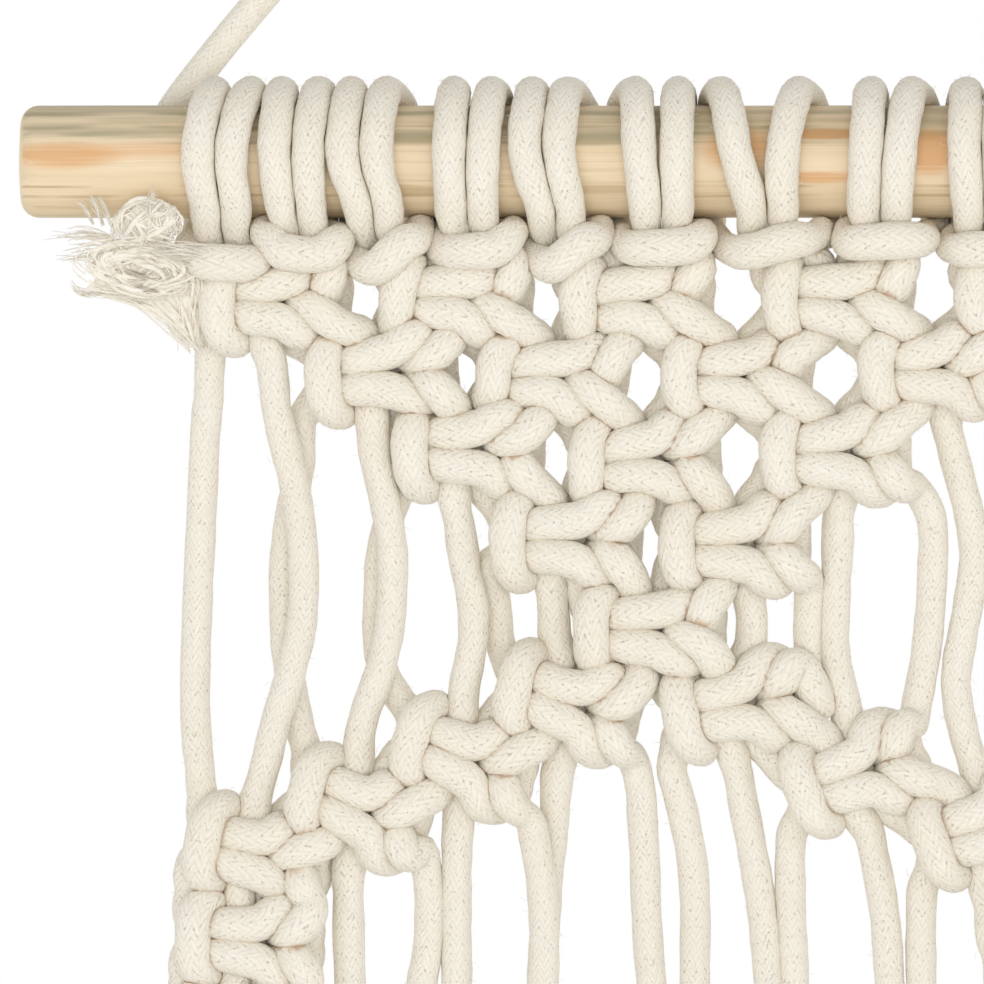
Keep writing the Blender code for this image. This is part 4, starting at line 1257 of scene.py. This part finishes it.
# The dowel: a profile with rounded ends and a very slightly uneven side, turned about the axis.
def makeDowel(material):
    half, edge, radius = rod["half"], rod["edge"], hanging["dowelSize"] / 2
    bend = np.linspace(0.0, np.pi / 2, 9)
    corner = np.stack([half - edge + edge * np.cos(bend), radius - edge + edge * np.sin(bend)],
                      axis=1)
    shares = np.array([0.2, 0.5, 0.8])
    face = np.stack([half + rod["crown"] * (1 - shares ** 2) - 0.02, (radius - edge) * shares],
                    axis=1)
    right = np.concatenate([face, corner])
    middle = np.linspace(half - edge, -half + edge, rod["sections"])[1:-1]
    body = np.stack([middle, radius + rod["uneven"] * np.sin(middle * 0.11)], axis=1)
    profile = np.concatenate([right, body, right[::-1] * (-1, 1)])
    turn = 2 * np.pi * np.arange(rod["sides"])[None] / rod["sides"]
    place, away = profile[:, :1], profile[:, 1:]
    rows = np.stack([place + 0 * turn, away * np.cos(turn), away * np.sin(turn)], axis=-1)
    pole = np.array([half + rod["crown"] - 0.01, 0.0, 0.0])
    item = addPiece("rod", gridMesh("rod", rows, [pole, -pole]), material)
    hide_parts("dowel")
    print("dowel:", 2 * half, "mm")


stage = dict(
    low=-0.70,             # the floor's height, m
    reach=4,               # how far it goes from the middle
    fade=(0.4, 1.8),       # where its paint starts and ends to fade
    paint=(0.92, 0.92, 0.91),
)


# The floor: one flat face, whose paint fades into the white of the room with distance.
def makeStage():
    low, reach = stage["low"], stage["reach"]
    floor = bpy.data.meshes.new("floor")
    corners = [(x * reach, y * reach, low) for x, y in ((-1, -1), (1, -1), (1, 1), (-1, 1))]
    floor.from_pydata(corners, [], [(0, 1, 2, 3)])
    f = Finish("floorPaint")
    x, y, _ = f.split(f.place())
    far = ((x * x + y * y) ** 0.5).ramp(*stage["fade"])
    f.drive("Base Color", f.mix(far, stage["paint"], (0.0, 0.0, 0.0)))
    f.drive("Emission Color", f.mix(far, (0.0, 0.0, 0.0), (1.0, 1.0, 1.0)))
    f.set("Emission Strength", 1.0)
    f.set("Roughness", 0.9)
    f.set("Specular IOR Level", 0.0)
    floor.materials.append(f.material)
    item = bpy.data.objects.new("floor", floor)
    bpy.context.scene.collection.objects.link(item)


room = dict(low=1.34, high=0.52, seen=1.0)     # light from below, from above, and as it is seen
aim = (-0.05, 0.0, -0.25)                      # where the lamps point, m

lamps = [
    # name, place, size, watts
    ("frontSoft", (-0.2, -1.7, -0.7), 1.3, 18.5),
    ("rightFill", (1.5, -1.2, 0.0), 1.2, 2.0),
    ("backFill", (0.2, 1.6, 0.5), 1.6, 7.0),
]


# Three soft lamps, and a room that lights softly, less from above. A viewer who looks past the
# object sees plain white.
def makeLights():
    for name, spot, size, watts in lamps:
        data = bpy.data.lights.new(name, "AREA")
        data.size = size
        data.energy = watts
        item = bpy.data.objects.new(name, data)
        item.location = spot
        item.rotation_euler = (Vector(aim) - Vector(spot)).to_track_quat("-Z", "Y").to_euler()
        bpy.context.scene.collection.objects.link(item)
    world = bpy.data.worlds.new("studio")
    world.use_nodes = True
    tree = world.node_tree
    toward = addNode(tree, "ShaderNodeTexCoord")[0]
    height = addNode(tree, "ShaderNodeSeparateXYZ", None, {0: toward})[2]
    level = addNode(tree, "ShaderNodeMapRange", None,
                    {0: height, "From Min": -0.4, "From Max": 0.8,
                     "To Min": room["low"], "To Max": room["high"]})[0]
    seen = addNode(tree, "ShaderNodeLightPath")[0]
    level = addNode(tree, "ShaderNodeMix", None, {0: seen, 2: level, 3: room["seen"]})[0]
    background = tree.nodes["Background"]
    tree.links.new(level.socket, background.inputs["Strength"])
    background.inputs["Color"].default_value = (1.0, 1.0, 1.0, 1.0)
    bpy.context.scene.world = world
    bpy.context.scene.view_settings.view_transform = "Standard"


makeCamera()
cordCotton = cordMaterial("cordCotton")
makeHanger(cordMaterial("hangerCotton", 0.75))
lines, frames, radii = makeCords(cordCotton)
makeFuzz(lines, frames, radii, fibreMaterial("cottonFuzz"))
makeTails(fibreMaterial("looseCotton"))
makeDowel(pineMaterial("dowelPine"))
makeStage()
makeLights()
print("stage and lights set")
